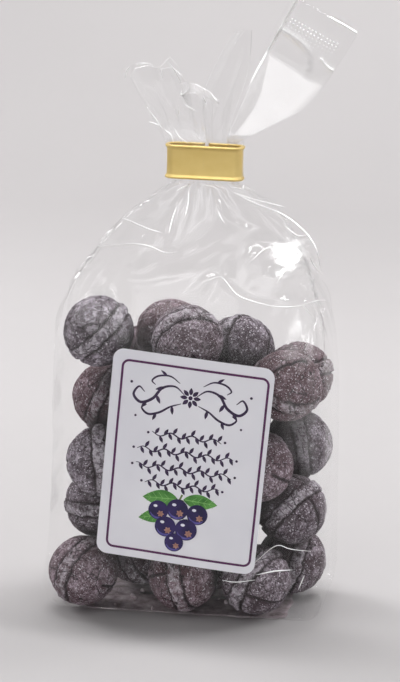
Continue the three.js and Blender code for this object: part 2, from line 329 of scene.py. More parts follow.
# Name, place, size, power, what it does, and its aim where that isn't the bag. One that "lights" can't be
# seen in mirroring surfaces, and one that is "mirrored" can be seen in them alone.
SOFTBOXES = [
    ("overhead_softbox", (40, 170, 820), (560, 200), 4.6, "mirrored"),
    ("key_softbox", (30, 140, 840), (700, 90), 4.9, "lights"),
    ("front_softbox", (-40, -430, 880), (420, 330), 0.9, "both"),
    ("low_softbox", (0, -850, 95), (1100, 180), 2.6, "lights"),
    ("right_softbox", (560, -200, 330), (70, 300), 0.15, "both"),
    ("left_softbox", (-520, 260, 320), (200, 300), 2.0, "lights"),
    ("rear_softbox", (520, 260, 320), (200, 300), 1.8, "lights"),
    ("backdrop_softbox", (0, 420, 900), (1400, 240), 3.9, "lights", (0, 920, 300)),
    ("rim_softbox", (-620, 340, 510), (220, 260), 0.5, "mirrored"),
    ("front_wall", (0, -950, 500), (2600, 1500), 12.0, "mirrored"),
    ("front_ceiling", (0, -700, 1000), (1800, 900), 7.5, "mirrored"),
    ("left_wall", (-1100, -100, 500), (1600, 1400), 7.0, "mirrored"),
    ("right_wall", (1100, -100, 500), (1600, 1400), 7.0, "mirrored"),
    ("ceiling", (0, 0, 1500), (2400, 2000), 10.0, "mirrored"),
]


def add_softbox(name, place, size, power, does, aim=BAG_MIDDLE):
    data = bpy.data.lights.new(name, "AREA")
    data.shape = "RECTANGLE"
    data.size, data.size_y = size[0] * MM, size[1] * MM
    data.energy = power
    light = bpy.data.objects.new(name, data)
    light.visible_glossy = does != "lights"
    light.visible_diffuse = does != "mirrored"
    stand(light, place, aim)


def light_studio():
    for softbox in SOFTBOXES:
        add_softbox(*softbox)
    world = bpy.data.worlds.new("studio")
    world.use_nodes = True
    surroundings = world.node_tree.nodes["Background"].inputs
    surroundings["Color"].default_value = (1.0, 0.985, 0.985, 1)
    surroundings["Strength"].default_value = 0.09
    bpy.context.scene.world = world
    bpy.context.scene.view_settings.view_transform = "Standard"
    bpy.context.scene.cycles.transparent_max_bounces = 96


# ------------------------------------------------------------------ the sweets

FINE_LEVEL, COARSE_LEVEL = 6, 5  # subdivisions of a seen and of a hidden sweet
BELT_EDGE = math.radians(12.0)  # half the width of the raised belt round a sweet
GROOVE_WIDTH = math.radians(4.6)
BELT_RISE, BELT_ROUGHNESS = 0.30, 0.34
BELT_GROOVE, CAP_GROOVE, PIT_DEPTH, WEAR_DEPTH = 0.80, 0.60, 0.30, 0.16
SHRINK, HIGHEST = 0.12, 0.28  # how far a sweet's mean is under its radius, and its lumps above it at most
PIT_COUNT, PIT_SIZES = 34, (1.6, 4.8)  # in degrees
CAP_GROOVE_WIDTH, CAP_GROOVE_ENDS = 0.9, (-0.45, -0.15)
WEAR_LOW, WEAR_HIGH, WEAR_BY_BARENESS = 0.42, 0.60, 0.55
# Layers of noise, as strength, size in mm and seed: the belt's wandering edges in degrees, then the lumps
WOBBLES = [(3.6, 3.8, 3), (3.0, 1.1, 5)]
LUMPS = [(0.26, 7.0, 31), (0.17, 2.0, 41)]
GRIT = (0.09, 0.62, 51)
# Size and seed of the noise in the grooves' width and depth, in the belt's breaks and top, and in the wear
WIDTH_NOISE, DEPTH_NOISE = (2.4, 7), (3.0, 13)
BREAK_NOISE, BELT_NOISE, WEAR_NOISE = (3.2, 11), (1.5, 21), (5.0, 61, 4)

# Each seen sweet: its belt's axis in degrees, as the turn from +X towards +Z and the lean towards the
# front, then how brown it is and how bare of sugar, from 0 to 1
SEEN_SWEETS = [
    (160, -28, 0.75, 0.30), (20, 10, 0.40, 0.90), (12, 4, 0.90, 0.45), (-30, 18, 0.30, 0.30),
    (-20, -10, 0.35, 0.60), (94, -4, 0.20, 0.55), (-42, 14, 0.25, 0.40), (4, -12, 0.15, 0.35),
    (-8, 42, 0.70, 0.25), (8, -16, 0.20, 0.15), (-24, 6, 0.90, 0.60), (62, 20, 0.95, 0.65),
    (110, -12, 0.90, 0.90), (132, 8, 0.15, 0.10), (120, 12, 0.85, 0.55), (-48, 55, 0.45, 0.50),
    (10, 24, 0.15, 0.75),
]
HIDDEN_LOOK = (0.5, 0.5)

# Middle and radius of broken pieces that have sunk between the sweets
BROKEN_PIECES = [(-17.5, 14.8, 64.2, 5.9)]
BREAKS, BREAK_REACH = 5, (0.62, 0.85)  # how many flat breaks, and how far out each is for a radius of 1


def sweet_axis(index):
    """The direction through the middle of a sweet's two caps."""
    if index < len(SEEN_SWEETS):
        turn, lean = (math.radians(angle) for angle in SEEN_SWEETS[index][:2])
    else:
        turn, lean = math.radians(index * 137.5), math.radians(70 * math.sin(index * 2.4))
    return np.array([math.cos(turn) * math.cos(lean), -math.sin(lean), math.sin(turn) * math.cos(lean)])


def ball(level):
    """Unit directions and triangles of an even ball."""
    mesh = bmesh.new()
    bmesh.ops.create_icosphere(mesh, subdivisions=level, radius=1.0)
    points = np.array([vertex.co for vertex in mesh.verts])
    faces = np.array([[vertex.index for vertex in face.verts] for face in mesh.faces])
    mesh.free()
    return unit(points), faces


def cap_groove(directions, axis, side, turn, wobble):
    """How deep each point lies in the one groove that runs over a cap from the belt, from 0 to 1."""
    first = unit(np.cross(axis, (0.3, 0.9, 0.2)))
    second = np.cross(axis, first)
    across = -math.sin(turn) * first + math.cos(turn) * second
    towards = math.cos(turn) * first + math.sin(turn) * second
    away = np.abs(np.arcsin(np.clip(directions @ across, -1, 1)) + wobble * 0.8)
    depth = np.clip(1 - away / (GROOVE_WIDTH * CAP_GROOVE_WIDTH), 0, 1)
    beyond_belt = smooth_step(BELT_EDGE * 0.8, BELT_EDGE * 1.3, side * np.arcsin(directions @ axis))
    return depth * beyond_belt * smooth_step(*CAP_GROOVE_ENDS, directions @ towards)


def pits(directions, rng):
    """Small craters and chips, from 0 to 1."""
    depth = np.zeros(len(directions))
    for _ in range(PIT_COUNT):
        middle = unit(rng.normal(size=3))
        radius = math.radians(rng.uniform(*PIT_SIZES))
        away = np.arccos(np.clip(directions @ middle, -1, 1))
        depth = np.maximum(depth, smooth_step(1.0, 0.35, away / radius) * rng.uniform(0.4, 1.0))
    return depth


def sweet_surface(directions, index, bare):
    """Radius of a pressed, sugared sweet in each direction, with how grooved, belted and worn it is there."""
    rng = np.random.default_rng(100 + index)
    axis = sweet_axis(index)
    place = directions * SWEET_RADIUS + 40.0 * index
    wobble = sum(np.radians(angle) * layered_noise(place, size, seed) for angle, size, seed in WOBBLES)
    width = GROOVE_WIDTH * (1 + 0.75 * layered_noise(place + 5, *WIDTH_NOISE))
    from_edge = np.abs(np.arcsin(np.clip(directions @ axis, -1, 1))) - BELT_EDGE + wobble
    groove = np.clip(1 - np.abs(from_edge) / width, 0, 1) ** 1.25
    groove *= 0.75 + 0.5 * layered_noise(place + 2, *DEPTH_NOISE)
    belt = smooth_step(0.0, -GROOVE_WIDTH * 0.8, from_edge)
    broken = smooth_step(0.0, 0.35, layered_noise(place + 9, *BREAK_NOISE))
    caps = np.zeros(len(directions))
    for side in (-1, 1):
        caps = np.maximum(caps, cap_groove(directions, axis, side, rng.uniform(0, 2 * math.pi), wobble))
    holes = pits(directions, rng)
    lower = WEAR_BY_BARENESS * bare
    wear = smooth_step(WEAR_LOW - lower, WEAR_HIGH - lower, layered_noise(place + 3, *WEAR_NOISE))

    radius = SWEET_RADIUS - SHRINK + GRIT[0] * value_noise(place, *GRIT[1:])
    radius += sum(height * layered_noise(place, size, seed) for height, size, seed in LUMPS)
    radius += belt * (BELT_RISE * (1 - 0.8 * broken) + BELT_ROUGHNESS * layered_noise(place, *BELT_NOISE))
    radius -= BELT_GROOVE * groove + CAP_GROOVE * caps**1.2 + PIT_DEPTH * holes + WEAR_DEPTH * wear
    grooved = np.maximum.reduce([groove, caps, 0.8 * holes])
    return np.minimum(radius, SWEET_RADIUS + HIGHEST), grooved, belt, wear


def sweet_material():
    """Dark boiled sugar under a dusting of fine sugar that wears off in places, with painted shade in its
    grooves and cracks and where its neighbours crowd it.
    """
    look = Look("sugar_dusted_sweet")
    # The second tone is near black, darker than the bare core: painted shade laid into the grooves, cracks
    # and crevices
    white, crevice_shade_tone = (0.80, 0.76, 0.82), (0.012, 0.005, 0.007)

    def grains(scale, detail, *stops):
        return look.ramp(look.noise(scale, detail, 0.6), *stops)

    def stored(name, *stops):
        return look.ramp(look.attribute(name), *stops)

    brown = look.attribute("brown")
    dust = look.mix(brown, (0.46, 0.415, 0.485), (0.44, 0.325, 0.38))
    core = look.mix(brown, (0.030, 0.018, 0.027), (0.062, 0.023, 0.029))
    cover = stored("bare", (0.0, 1.0), (1.0, 0.5))
    for scale, detail, thin in ((420.0, 5.0, 0.22), (150.0, 4.0, 0.42), (1300.0, 4.0, 0.32)):
        cover = look.both(cover, grains(scale, detail, (0.42, thin), (0.56, 1.0)))
    worn = look.both(stored("wear", (0.0, 0.0), (1.0, 0.92)), grains(800.0, 3.0, (0.42, 0.45), (0.56, 1.0)))
    crest = look.both(stored("belt", (0.0, 0.0), (1.0, 0.34)), grains(700.0, 3.0, (0.42, 0.0), (0.58, 1.0)))
    cells = look.node("TexVoronoi", {"Vector": look.place, "Scale": 330.0}, feature="DISTANCE_TO_EDGE")
    cracks = look.both(look.ramp(cells.outputs["Distance"], (0.015, 0.85), (0.055, 0.0)),
                       grains(240.0, 3.0, (0.48, 0.0), (0.54, 1.0)))
    colour = look.mix(cover, core, dust)
    for share, tone in (
        (worn, core),
        (crest, white),
        (grains(2300.0, 2.0, (0.59, 0.0), (0.67, 0.85)), white),
        (grains(1500.0, 3.0, (0.34, 0.92), (0.44, 0.0)), core),
        # cracks and grooves: dark bare sugar, darkened further with painted shade
        (cracks, crevice_shade_tone),
        (stored("groove", (0.10, 0.0), (0.55, 0.96)), crevice_shade_tone),
        # painted shade where neighbouring sweets crowd a point, also standing for sugar worn off there
        (stored("rubbed", (0.18, 0.0), (0.75, 0.95)), crevice_shade_tone),
    ):
        colour = look.mix(share, colour, tone)
    coarse = look.bump(look.noise(1100.0, 4.0, 0.6), 0.7, 0.00022)
    fine = look.bump(look.noise(3200.0, 2.0, 0.6), 0.8, 0.00009, Normal=coarse)
    return look.opaque(colour, 0.75, 0.25, Normal=fine)


def rubbed_bare(points, outward, own=None):
    """How closely neighbouring sweets crowd each point, from 0 to 1: there the sweet gets painted shade as
    dark as the crevices between them, which also stands for sugar worn off by its neighbours.
    """
    crowding = np.zeros(len(points))
    for number, middle in enumerate(SWEET_CENTRES):
        away = middle - points
        distance = np.linalg.norm(away, axis=1)
        if number == own or distance.min() > 3 * SWEET_RADIUS:
            continue
        facing = np.clip((away * outward).sum(1) / distance, 0, 1)
        crowding += facing * (SWEET_RADIUS / np.maximum(distance, SWEET_RADIUS)) ** 2
    return np.clip(crowding, 0, 1)


def make_broken_pieces(material):
    """Chips of sweet with flat, rough breaks, all in one mesh."""
    rng = np.random.default_rng(29)
    directions, ball_faces = ball(5)
    chips = Patches()
    for *middle, radius in BROKEN_PIECES:
        reach = np.full(len(directions), 1.0)
        for _ in range(BREAKS):
            break_way = unit(rng.normal(size=3))
            towards = np.maximum(directions @ break_way, 1e-3)
            reach = np.minimum(reach, rng.uniform(*BREAK_REACH) / towards)
        reach += 0.05 * layered_noise(directions * radius + middle, 1.6, 71)
        chips.add(np.array(middle) + directions * (reach * radius)[:, None], ball_faces)
    points = chips.all_points()
    piece = make_mesh("broken_sweets", points, chips.faces)
    # painted shade from the neighbouring sweets, with sugar worn off
    rubbed = rubbed_bare(points, np.tile(directions, (len(BROKEN_PIECES), 1)))
    set_looks(piece, groove=0.0, belt=0.0, wear=0.2, brown=0.6, bare=0.6, rubbed=rubbed)
    dress(piece, material)


def make_sweet(index, node, material):
    seen = index < len(SEEN_SWEETS)
    directions, faces = ball(FINE_LEVEL if seen else COARSE_LEVEL)
    brown, bare = SEEN_SWEETS[index][2:] if seen else HIDDEN_LOOK
    radius, groove, belt, wear = sweet_surface(directions, index, bare)
    piece = make_mesh("dusted_" + node, SWEET_CENTRES[index] + directions * radius[:, None], faces)
    # painted shade from the neighbouring sweets, with sugar worn off
    rubbed = rubbed_bare(SWEET_CENTRES[index] + directions * SWEET_RADIUS, directions, index)
    set_looks(piece, groove=groove, belt=belt, wear=wear, brown=brown, bare=bare, rubbed=rubbed)
    dress(piece, material, node)


def make_sweets():
    material = sweet_material()
    for index, node in enumerate(SWEET_NODES):
        make_sweet(index, node, material)
    make_broken_pieces(material)


# ------------------------------------------------------------------ the label

LABEL_MIDDLE = (1.6, 44.2)  # x and z
LABEL_TURN = math.radians(5.6)  # clockwise, seen from the front
LABEL_HALF, LABEL_CORNER = (20.7, 27.4), 2.8
LABEL_FACE_Y, LABEL_THICKNESS = -22.0, 0.14
LABEL_RINGS = 24
LABEL_BOW = (0.28, 0.10)  # how far its sides and its ends bow back
LABEL_WAVES = [(0.10, 0.17, 0.13, 0.0), (0.07, -0.11, 0.29, 1.0)]  # height, turn for each mm, and start
PRINT_LIFT = 0.03
BORDER_MIDDLE, BORDER_HALF = (0.65, -0.3), (18.7, 24.9)  # the print sits a little low and to the right
BORDER_WIDTH, BORDER_CORNER = 0.6, 1.7


def on_label(across, up, lift=0.0):
    """A place on the label's face: it bows back a little at its sides and has two slight waves."""
    across, up = np.asarray(across, float), np.asarray(up, float)
    bow = LABEL_BOW[0] * (across / LABEL_HALF[0]) ** 2 + LABEL_BOW[1] * (up / LABEL_HALF[1]) ** 2
    wave = sum(height * np.sin(a * across + b * up + start) for height, a, b, start in LABEL_WAVES)
    x = LABEL_MIDDLE[0] + across * math.cos(LABEL_TURN) + up * math.sin(LABEL_TURN)
    z = LABEL_MIDDLE[1] - across * math.sin(LABEL_TURN) + up * math.cos(LABEL_TURN)
    return np.stack([x, LABEL_FACE_Y + bow + wave - lift, z], -1)


def rounded_outline(half_width, half_height, corner, spacing=1.0, steps=8):
    """Points round a rectangle with rounded corners, anticlockwise, with more along its straight edges."""
    corners = []
    for sign_x, sign_y, start in ((1, 1, 0), (-1, 1, 90), (-1, -1, 180), (1, -1, 270)):
        middle = np.array([sign_x * (half_width - corner), sign_y * (half_height - corner)])
        for angle in np.radians(start + np.linspace(0, 90, steps + 1)):
            corners.append(middle + corner * on_circle(angle))
    points = []
    for start, end in zip(corners, corners[1:] + corners[:1]):
        count = max(1, round(np.linalg.norm(end - start) / spacing))
        points += [start + (end - start) * t for t in np.linspace(0, 1, count, endpoint=False)]
    return np.array(points)


def make_label_paper():
    """Rings of quads from the outline to the middle, in front and behind, and the cut edge between."""
    outline = rounded_outline(*LABEL_HALF, LABEL_CORNER)
    ring, inmost = len(outline), LABEL_RINGS * len(outline)
    shares = np.linspace(1, 0, LABEL_RINGS + 1)[:-1]
    flat = np.concatenate([outline * share for share in shares] + [[[0.0, 0.0]]])
    fill = grid_faces(LABEL_RINGS, ring, True).tolist()
    fill += [[inmost - ring + k, inmost - ring + (k + 1) % ring, inmost] for k in range(ring)]
    face, count = on_label(flat[:, 0], flat[:, 1]), len(flat)
    sides = [[k, (k + 1) % ring, count + (k + 1) % ring, count + k] for k in range(ring)]
    backs = [[count + corner for corner in quad] for quad in fill]
    points = np.concatenate([face, face + (0, LABEL_THICKNESS, 0)])
    piece = make_mesh("paper_label", points, [quad[::-1] for quad in fill] + sides + backs, smooth=False)
    look = Look("label_paper")
    tone = look.ramp(look.noise(60.0, 2.0), (0.35, (0.78, 0.775, 0.83)), (0.65, (0.83, 0.825, 0.87)))
    fibres = look.bump(look.noise(1400.0, 5.0), 0.15, 0.00005)
    dress(piece, look.opaque(tone, 0.42, 0.4, Normal=fibres), "front_label")


def ink(name, dark, light, scale=900.0):
    """Printing ink, slightly uneven between two tones."""
    look = Look(name)
    tone = look.ramp(look.noise(scale), (0.3, dark), (0.7, light))
    return look.opaque(tone, 0.4, 0.4)


class Print(Patches):
    """Flat printed shapes that lie just above the label."""

    def polygon(self, points):
        """A convex shape, filled from its middle."""
        points = np.asarray(points, float)
        count = len(points)
        fan = [[k, (k + 1) % count, count] for k in range(count)]
        self.add(np.concatenate([points, [points.mean(0)]]), fan)

    def disc(self, middle, radius, squeeze=1.0, steps=20):
        angle = np.linspace(0, 2 * math.pi, steps, endpoint=False)
        across, up = middle[0] + radius * np.cos(angle), middle[1] + radius * squeeze * np.sin(angle)
        self.polygon(np.stack([across, up], -1))

    def stroke(self, points, widths, closed=False):
        """A line of changing width."""
        points = np.asarray(points, float)
        along = np.roll(points, -1, 0) - np.roll(points, 1, 0) if closed else np.gradient(points, axis=0)
        along = unit(along)
        side = np.stack([-along[:, 1], along[:, 0]], -1) * np.broadcast_to(widths, len(points))[:, None] / 2
        both = np.stack([points + side, points - side], 1)
        faces = grid_faces(len(points), 2, False).tolist()
        if closed:
            last = 2 * len(points) - 2
            faces.append([last, last + 1, 1, 0])
        self.add(both, faces)

    def finish(self, name, material, lift=PRINT_LIFT):
        flat = self.all_points()
        dress(make_mesh(name, on_label(flat[:, 0], flat[:, 1], lift), self.faces), material)


def swelling(points, thin, thick):
    """Widths of a pen stroke, thin at both ends and thick in the middle."""
    share = np.linspace(0, 1, len(points))
    return thin + (thick - thin) * np.sin(math.pi * share) ** 0.8


def leaf_side(base, tip):
    """The direction to the left of a leaf that grows from its base to its tip."""
    along = np.subtract(tip, base)
    return np.array([-along[1], along[0]]) / np.linalg.norm(along)


def leaf_outline(base, tip, width, steps=9):
    """Points round a pointed leaf."""
    share = np.linspace(0, 1, steps)
    spread_out = width / 2 * np.sin(math.pi * share**0.85) ** 0.9
    middle = base + np.subtract(tip, base) * share[:, None]
    half = leaf_side(base, tip) * spread_out[:, None]
    return np.concatenate([middle + half, (middle - half)[-2:0:-1]])


# The right half of the flourish at the head of the label: its stems with their greatest width, its leaves
# from base to tip with their width, and its dots with their radius
SCROLL_STEMS = [
    (0.75, [(1.6, 17.6), (4.2, 19.4), (7.4, 18.6), (9.6, 15.6), (12.6, 14.2), (14.6, 16.0),
            (13.4, 18.2), (11.8, 17.0)]),
    (0.6, [(2.2, 15.2), (5.0, 14.0), (7.6, 12.2), (10.4, 11.4), (12.2, 12.8), (11.0, 13.8)]),
    (0.5, [(3.0, 20.4), (5.6, 21.9), (8.6, 21.6), (10.2, 20.2), (9.2, 19.2)]),
]
SCROLL_LEAVES = [
    ((6.6, 18.9), (9.2, 18.0), 0.9), ((8.8, 16.6), (7.6, 14.4), 0.9), ((4.6, 14.3), (4.2, 12.0), 0.85),
    ((8.4, 11.8), (9.2, 9.9), 0.8), ((11.0, 14.8), (12.4, 12.9), 0.8), ((6.4, 21.9), (8.2, 23.2), 0.7),
]
SCROLL_DOTS = [((15.4, 19.2), 0.36), ((13.6, 10.6), 0.3)]
FLOWER_MIDDLE, PETALS = (0, 17.0), 8


def print_scrolls(dark_ink):
    """A mirrored flourish with leaves, round a small flower at the head of the label."""
    scroll = Print()
    for side in (-1, 1):
        for thick, controls in SCROLL_STEMS:
            line = curve_points(controls) * (side, 1)
            scroll.stroke(line, swelling(line, 0.16, thick))
        for leaf in SCROLL_LEAVES:
            scroll.polygon(leaf_outline(*leaf) * (side, 1))
        for middle, radius in SCROLL_DOTS:
            scroll.disc(np.multiply(middle, (side, 1)), radius)
    for petal in range(PETALS):
        reach = on_circle(2 * math.pi * petal / PETALS)
        scroll.polygon(leaf_outline(reach * 0.75 + FLOWER_MIDDLE, reach * 2.7 + FLOWER_MIDDLE, 1.05))
    scroll.disc(FLOWER_MIDDLE, 0.55)
    scroll.finish("label_scrolls", dark_ink)


VINE_ROWS = [(6.6, 9.0), (2.2, 12.4), (-2.2, 12.4), (-6.4, 9.6)]  # height and half width
VINE_LEAF, VINE_LEAF_GAP = np.array([0.95, 1.75]), 1.15


def print_vines(dark_ink):
    """Rows of leafy vine across the middle of the label, each between two dots."""
    vine = Print()

    def on_stem(row, at):
        height, half_width = VINE_ROWS[row]
        return np.stack([at * half_width, height + 0.55 * np.sin(at * half_width * 1.15 + row * 1.4)], -1)

    for row, (height, half_width) in enumerate(VINE_ROWS):
        share = np.linspace(-1, 1, 90)
        line = on_stem(row, share)
        vine.stroke(line, 0.14 + 0.26 * np.cos(share * math.pi / 2) ** 0.5)
        leaves = int(half_width / VINE_LEAF_GAP)
        for number in range(-leaves, leaves + 1):
            base = on_stem(row, number / (leaves + 0.8))
            tip = base + VINE_LEAF * np.array([1, 1 if number % 2 else -1])
            vine.polygon(leaf_outline(base, tip, 0.85))
        for side in (-1, 1):
            vine.disc((side * (half_width + 0.9), height), 0.34)
    vine.finish("label_vines", dark_ink)


BERRIES = [  # across, up and radius: a small hanging bunch
    (-5.4, -13.6, 2.6), (-0.5, -12.7, 2.8), (4.7, -13.4, 2.7), (-3.2, -17.7, 2.75), (2.2, -17.8, 2.85),
    (-0.6, -21.6, 2.45),
]
STALK = [(0.4, -8.6), (-0.2, -10.6), (0.2, -13.6), (0.6, -17.0)]
LEAVES = [  # base, tip and width
    ((-0.6, -10.0), (-9.8, -10.6), 4.4), ((0.8, -9.8), (9.6, -10.2), 4.0),
    ((-3.0, -14.4), (-10.4, -16.4), 3.6),
]
SIDE_VEINS = (0.25, 0.42, 0.59, 0.75)  # places along a leaf
SHEEN_TURNS = np.radians(np.linspace(200, 320, 14))  # the arc of the sheen at the foot of a berry
CALYX_POINTS = 6


def print_leaves():
    """The stalk of the bunch, a stem for each berry, and three leaves with their veins."""
    stems, leaves, veins = Print(), Print(), Print()
    stalk = curve_points(STALK)
    stems.stroke(stalk, np.linspace(0.5, 0.22, len(stalk)))
    for across, up, _ in BERRIES:
        stems.stroke(curve_points([(0.1, up + 3.4), (across * 0.6, up + 2.6), (across, up + 0.6)]), 0.2)
    for base, tip, width in LEAVES:
        leaves.polygon(leaf_outline(base, tip, width, 14))
        along, side = np.subtract(tip, base), leaf_side(base, tip)
        veins.stroke(base + along * np.linspace(0.05, 0.95, 8)[:, None], np.linspace(0.22, 0.08, 8))
        for share in SIDE_VEINS:
            for way in (-1, 1):
                start = base + along * share
                end = start + along * 0.13 + side * way * width * 0.36 * math.sin(math.pi * share)
                veins.stroke([start, (start + end) / 2, end], 0.09)
    stems.finish("label_stems", ink("stem_print", (0.09, 0.13, 0.03), (0.16, 0.22, 0.06)))
    leaf_ink = ink("leaf_print", (0.035, 0.16, 0.025), (0.12, 0.36, 0.07), 420.0)
    leaves.finish("label_leaves", leaf_ink, PRINT_LIFT * 1.4)
    vein_ink = ink("leaf_vein_print", (0.20, 0.45, 0.12), (0.28, 0.55, 0.18))
    veins.finish("label_leaf_veins", vein_ink, PRINT_LIFT * 1.8)


def print_berries():
    """A generic bunch of dark berries, each with a sheen, a withered flower and a shine."""
    berry_ink = ink("berry_print", (0.010, 0.006, 0.045), (0.03, 0.016, 0.11), 300.0)
    sheen_ink = ink("berry_sheen_print", (0.07, 0.06, 0.26), (0.12, 0.10, 0.36))
    calyx_ink = ink("berry_calyx_print", (0.30, 0.13, 0.10), (0.52, 0.30, 0.24))
    shine_ink = ink("berry_shine_print", (0.75, 0.75, 0.85), (0.85, 0.85, 0.92))
    for number, (across, up, radius) in enumerate(BERRIES):
        berry, sheen, calyx, shine = Print(), Print(), Print(), Print()
        berry.disc((across, up), radius, steps=28)
        arc = [(across, up) + radius * 0.82 * on_circle(turn) for turn in SHEEN_TURNS]
        sheen.stroke(arc, swelling(arc, 0.05, radius * 0.20))
        foot = np.array([across + radius * 0.25, up - radius * 0.35])
        for point in range(CALYX_POINTS):
            reach = on_circle(2 * math.pi * point / CALYX_POINTS + math.radians(20 * number))
            calyx.polygon(leaf_outline(foot, foot + reach * radius * 0.36, radius * 0.22))
        calyx.disc(foot, radius * 0.14)
        shine.disc((across - radius * 0.32, up + radius * 0.42), radius * 0.2, 0.7)
        lift = PRINT_LIFT * (2.2 + 1.6 * number)
        over = lift + PRINT_LIFT * 0.4
        berry.finish(f"label_berry_{number}", berry_ink, lift)
        sheen.finish(f"label_berry_sheen_{number}", sheen_ink, over)
        calyx.finish(f"label_berry_calyx_{number}", calyx_ink, over)
        shine.finish(f"label_berry_shine_{number}", shine_ink, over)


def make_label():
    make_label_paper()
    border = Print()
    border.stroke(rounded_outline(*BORDER_HALF, BORDER_CORNER) + BORDER_MIDDLE, BORDER_WIDTH, closed=True)
    border.finish("label_border", ink("border_ink", (0.055, 0.008, 0.050), (0.105, 0.016, 0.095)))
    dark_ink = ink("ornament_ink", (0.020, 0.010, 0.035), (0.045, 0.022, 0.070))
    print_scrolls(dark_ink)
    print_vines(dark_ink)
    print_leaves()
    print_berries()


# ------------------------------------------------------------------ the film round the sweets
#
# The film is a tube, kept as a grid of rows up it and columns round it, in millimetres. It starts
# pleated between the body of the bag and the clip, and settles to folds that keep its own lengths.

# Height, middle x, half width, half depth and corner radius of the bag's outline
BAG_SECTIONS = np.array([
    (1.7, 0.0, 34.0, 17.2, 2.5), (3.0, -0.2, 36.0, 19.4, 5.0), (8.0, -0.4, 37.2, 21.2, 7.0),
    (20.0, 0.4, 36.4, 21.4, 8.0), (42.0, 1.2, 35.6, 21.4, 8.0), (62.0, 1.2, 35.4, 21.4, 8.0),
    (74.0, 0.9, 34.6, 21.3, 8.0), (81.0, 0.9, 33.4, 19.4, 7.5), (87.0, 1.2, 31.1, 16.2, 7.0),
    (92.5, 2.2, 28.6, 13.1, 6.0), (97.5, 3.4, 25.6, 10.4, 5.0), (102.0, 4.2, 22.0, 8.0, 4.4),
    (106.5, 4.8, 17.6, 5.6, 3.6), (110.3, 3.8, 12.8, 3.4, 2.2), (113.4, 3.1, 8.6, 1.5, 1.4),
    (124.0, 3.1, 8.6, 1.5, 1.4),
])
SECTION_HEIGHTS, *SECTION_SIZES = BAG_SECTIONS.T
FILM_WIDTH = 214.0  # once round the bag
CLIP_FOOT, CLIP_HEAD = 122.5, 132.5  # lengths of film up to the clip and through it
CLIP_FOOT_HEIGHT = 113.4
SHOULDER_FILM = 80.0  # length of film up to the shoulders
NECK_WIDTH, GATHER_REACH = 88.0, 11.0  # the film that the clip bunches, and how far its pleats reach
PLEATS = 16  # fine ones, at the neck
WAVES, SLACK = 8, 0.004  # broad ones over the shoulders, and the share of film that they take up
UP_SLACK = 0.004
TAUT = 0.05  # how much tighter the film is round the top sweets
FILM_ROWS, FILM_COLUMNS = 134, 216
FILM_GAP = 0.25  # between the film and a sweet
DEEPEST = 22.4
PINNED_FOOT = 1.2
GLUE_EDGE = 0.5  # the film is held flat this far beyond the label
BASE_ROWS, BASE_LIFT, BASE_BEND = 16, 0.18, (0.62, 1.0)
TAUT_FROM, SHOULDER_EASE = (55, 72), (8, 6)
FOLD_SPACING, FOLD_HOLD, FACET_HOLD = 0.7, 0.5, 0.35
STIFFNESS, DAMPING, UNEVEN_START = 0.9, 0.93, 0.15
SWEETS_AGAIN = 40  # steps after which the sweets nearest to each point are looked up again
MEMORY_HEIGHTS = ([70, 88, CLIP_FOOT], [1.0, 0.6, 0.1])  # the film remembers its outline less higher up
# Steps (and when quick), pull towards the outline and stiffness against bending
COARSE_SETTLING, FINE_SETTLING = (600, 200, 0.02, 0.01), (900, 150, 0.005, 0.002)

# Straight folds across the shoulders: from x, z to x, z, and how far they stand out
FRONT_FOLDS = [
    (11.3, 110.9, 32.4, 98.7, 1.6), (32.4, 98.7, 35.0, 84.0, 1.0), (11.3, 111.5, 24.0, 107.5, 1.8),
    (-4.5, 110.8, -18.0, 102.9, 1.4), (-18.0, 102.9, -5.5, 100.9, 1.0),
    (-18.0, 102.9, -23.2, 96.2, 1.2), (-23.2, 96.2, -11.7, 98.2, 1.6), (-11.7, 98.2, -1.8, 96.9, 1.0),
    (6.3, 90.1, 12.0, 90.0, 1.0), (12.0, 90.0, 17.6, 86.1, 1.2),
    (17.6, 86.1, 30.4, 84.5, 1.2), (30.4, 84.5, 36.0, 85.0, 0.8), (-8.8, 95.6, -20.8, 87.1, 0.9),
    (-0.6, 104.0, -0.3, 110.8, 1.0), (-3.0, 107.3, -4.3, 101.0, 1.1), (7.7, 106.4, 9.8, 103.3, 1.0),
    (4.8, 104.7, 9.6, 96.2, 1.0), (16.8, 94.8, 21.1, 97.7, 1.2), (21.1, 97.7, 29.4, 96.1, 1.4),
    (23.9, 90.0, 29.4, 96.1, 1.0),
]
BACK_FOLDS = [
    (-6.0, 110.5, -24.0, 99.0, 1.5), (-24.0, 99.0, -33.0, 84.0, 1.0), (10.0, 110.8, 20.0, 98.0, 1.5),
    (20.0, 98.0, 34.0, 86.0, 1.0), (3.0, 110.0, -4.0, 95.0, 1.2), (-4.0, 95.0, -22.0, 88.0, 1.0),
    (-4.0, 95.0, 20.0, 98.0, 1.1), (5.0, 88.0, 20.0, 98.0, 1.0),
]
# Dents between the folds: x, z, side (-1 is the front) and depth
DENTS = [
    (15.0, 104.0, -1, 2.6), (1.5, 98.0, -1, 2.2), (-14.0, 92.0, -1, 1.8), (25.0, 92.5, -1, 2.0),
    (-12.0, 104.0, -1, 2.0), (12.0, 100.0, 1, 2.0), (-14.0, 98.0, 1, 2.4), (8.0, 92.0, 1, 2.0),
]
# Flat facets: middle x, z, reach across and up, and the way they face in degrees right of the front and up
FACETS = [
    (25.0, 96.0, 6.8, 3.4, 3, 37), (26.0, 103.0, 2.6, 2.2, 4, 37), (30.0, 89.0, 3.0, 4.0, 42, 14),
    (-19.0, 92.0, 8.0, 4.5, -30, 12), (5.0, 96.0, 7.0, 4.5, 20, 16),
]


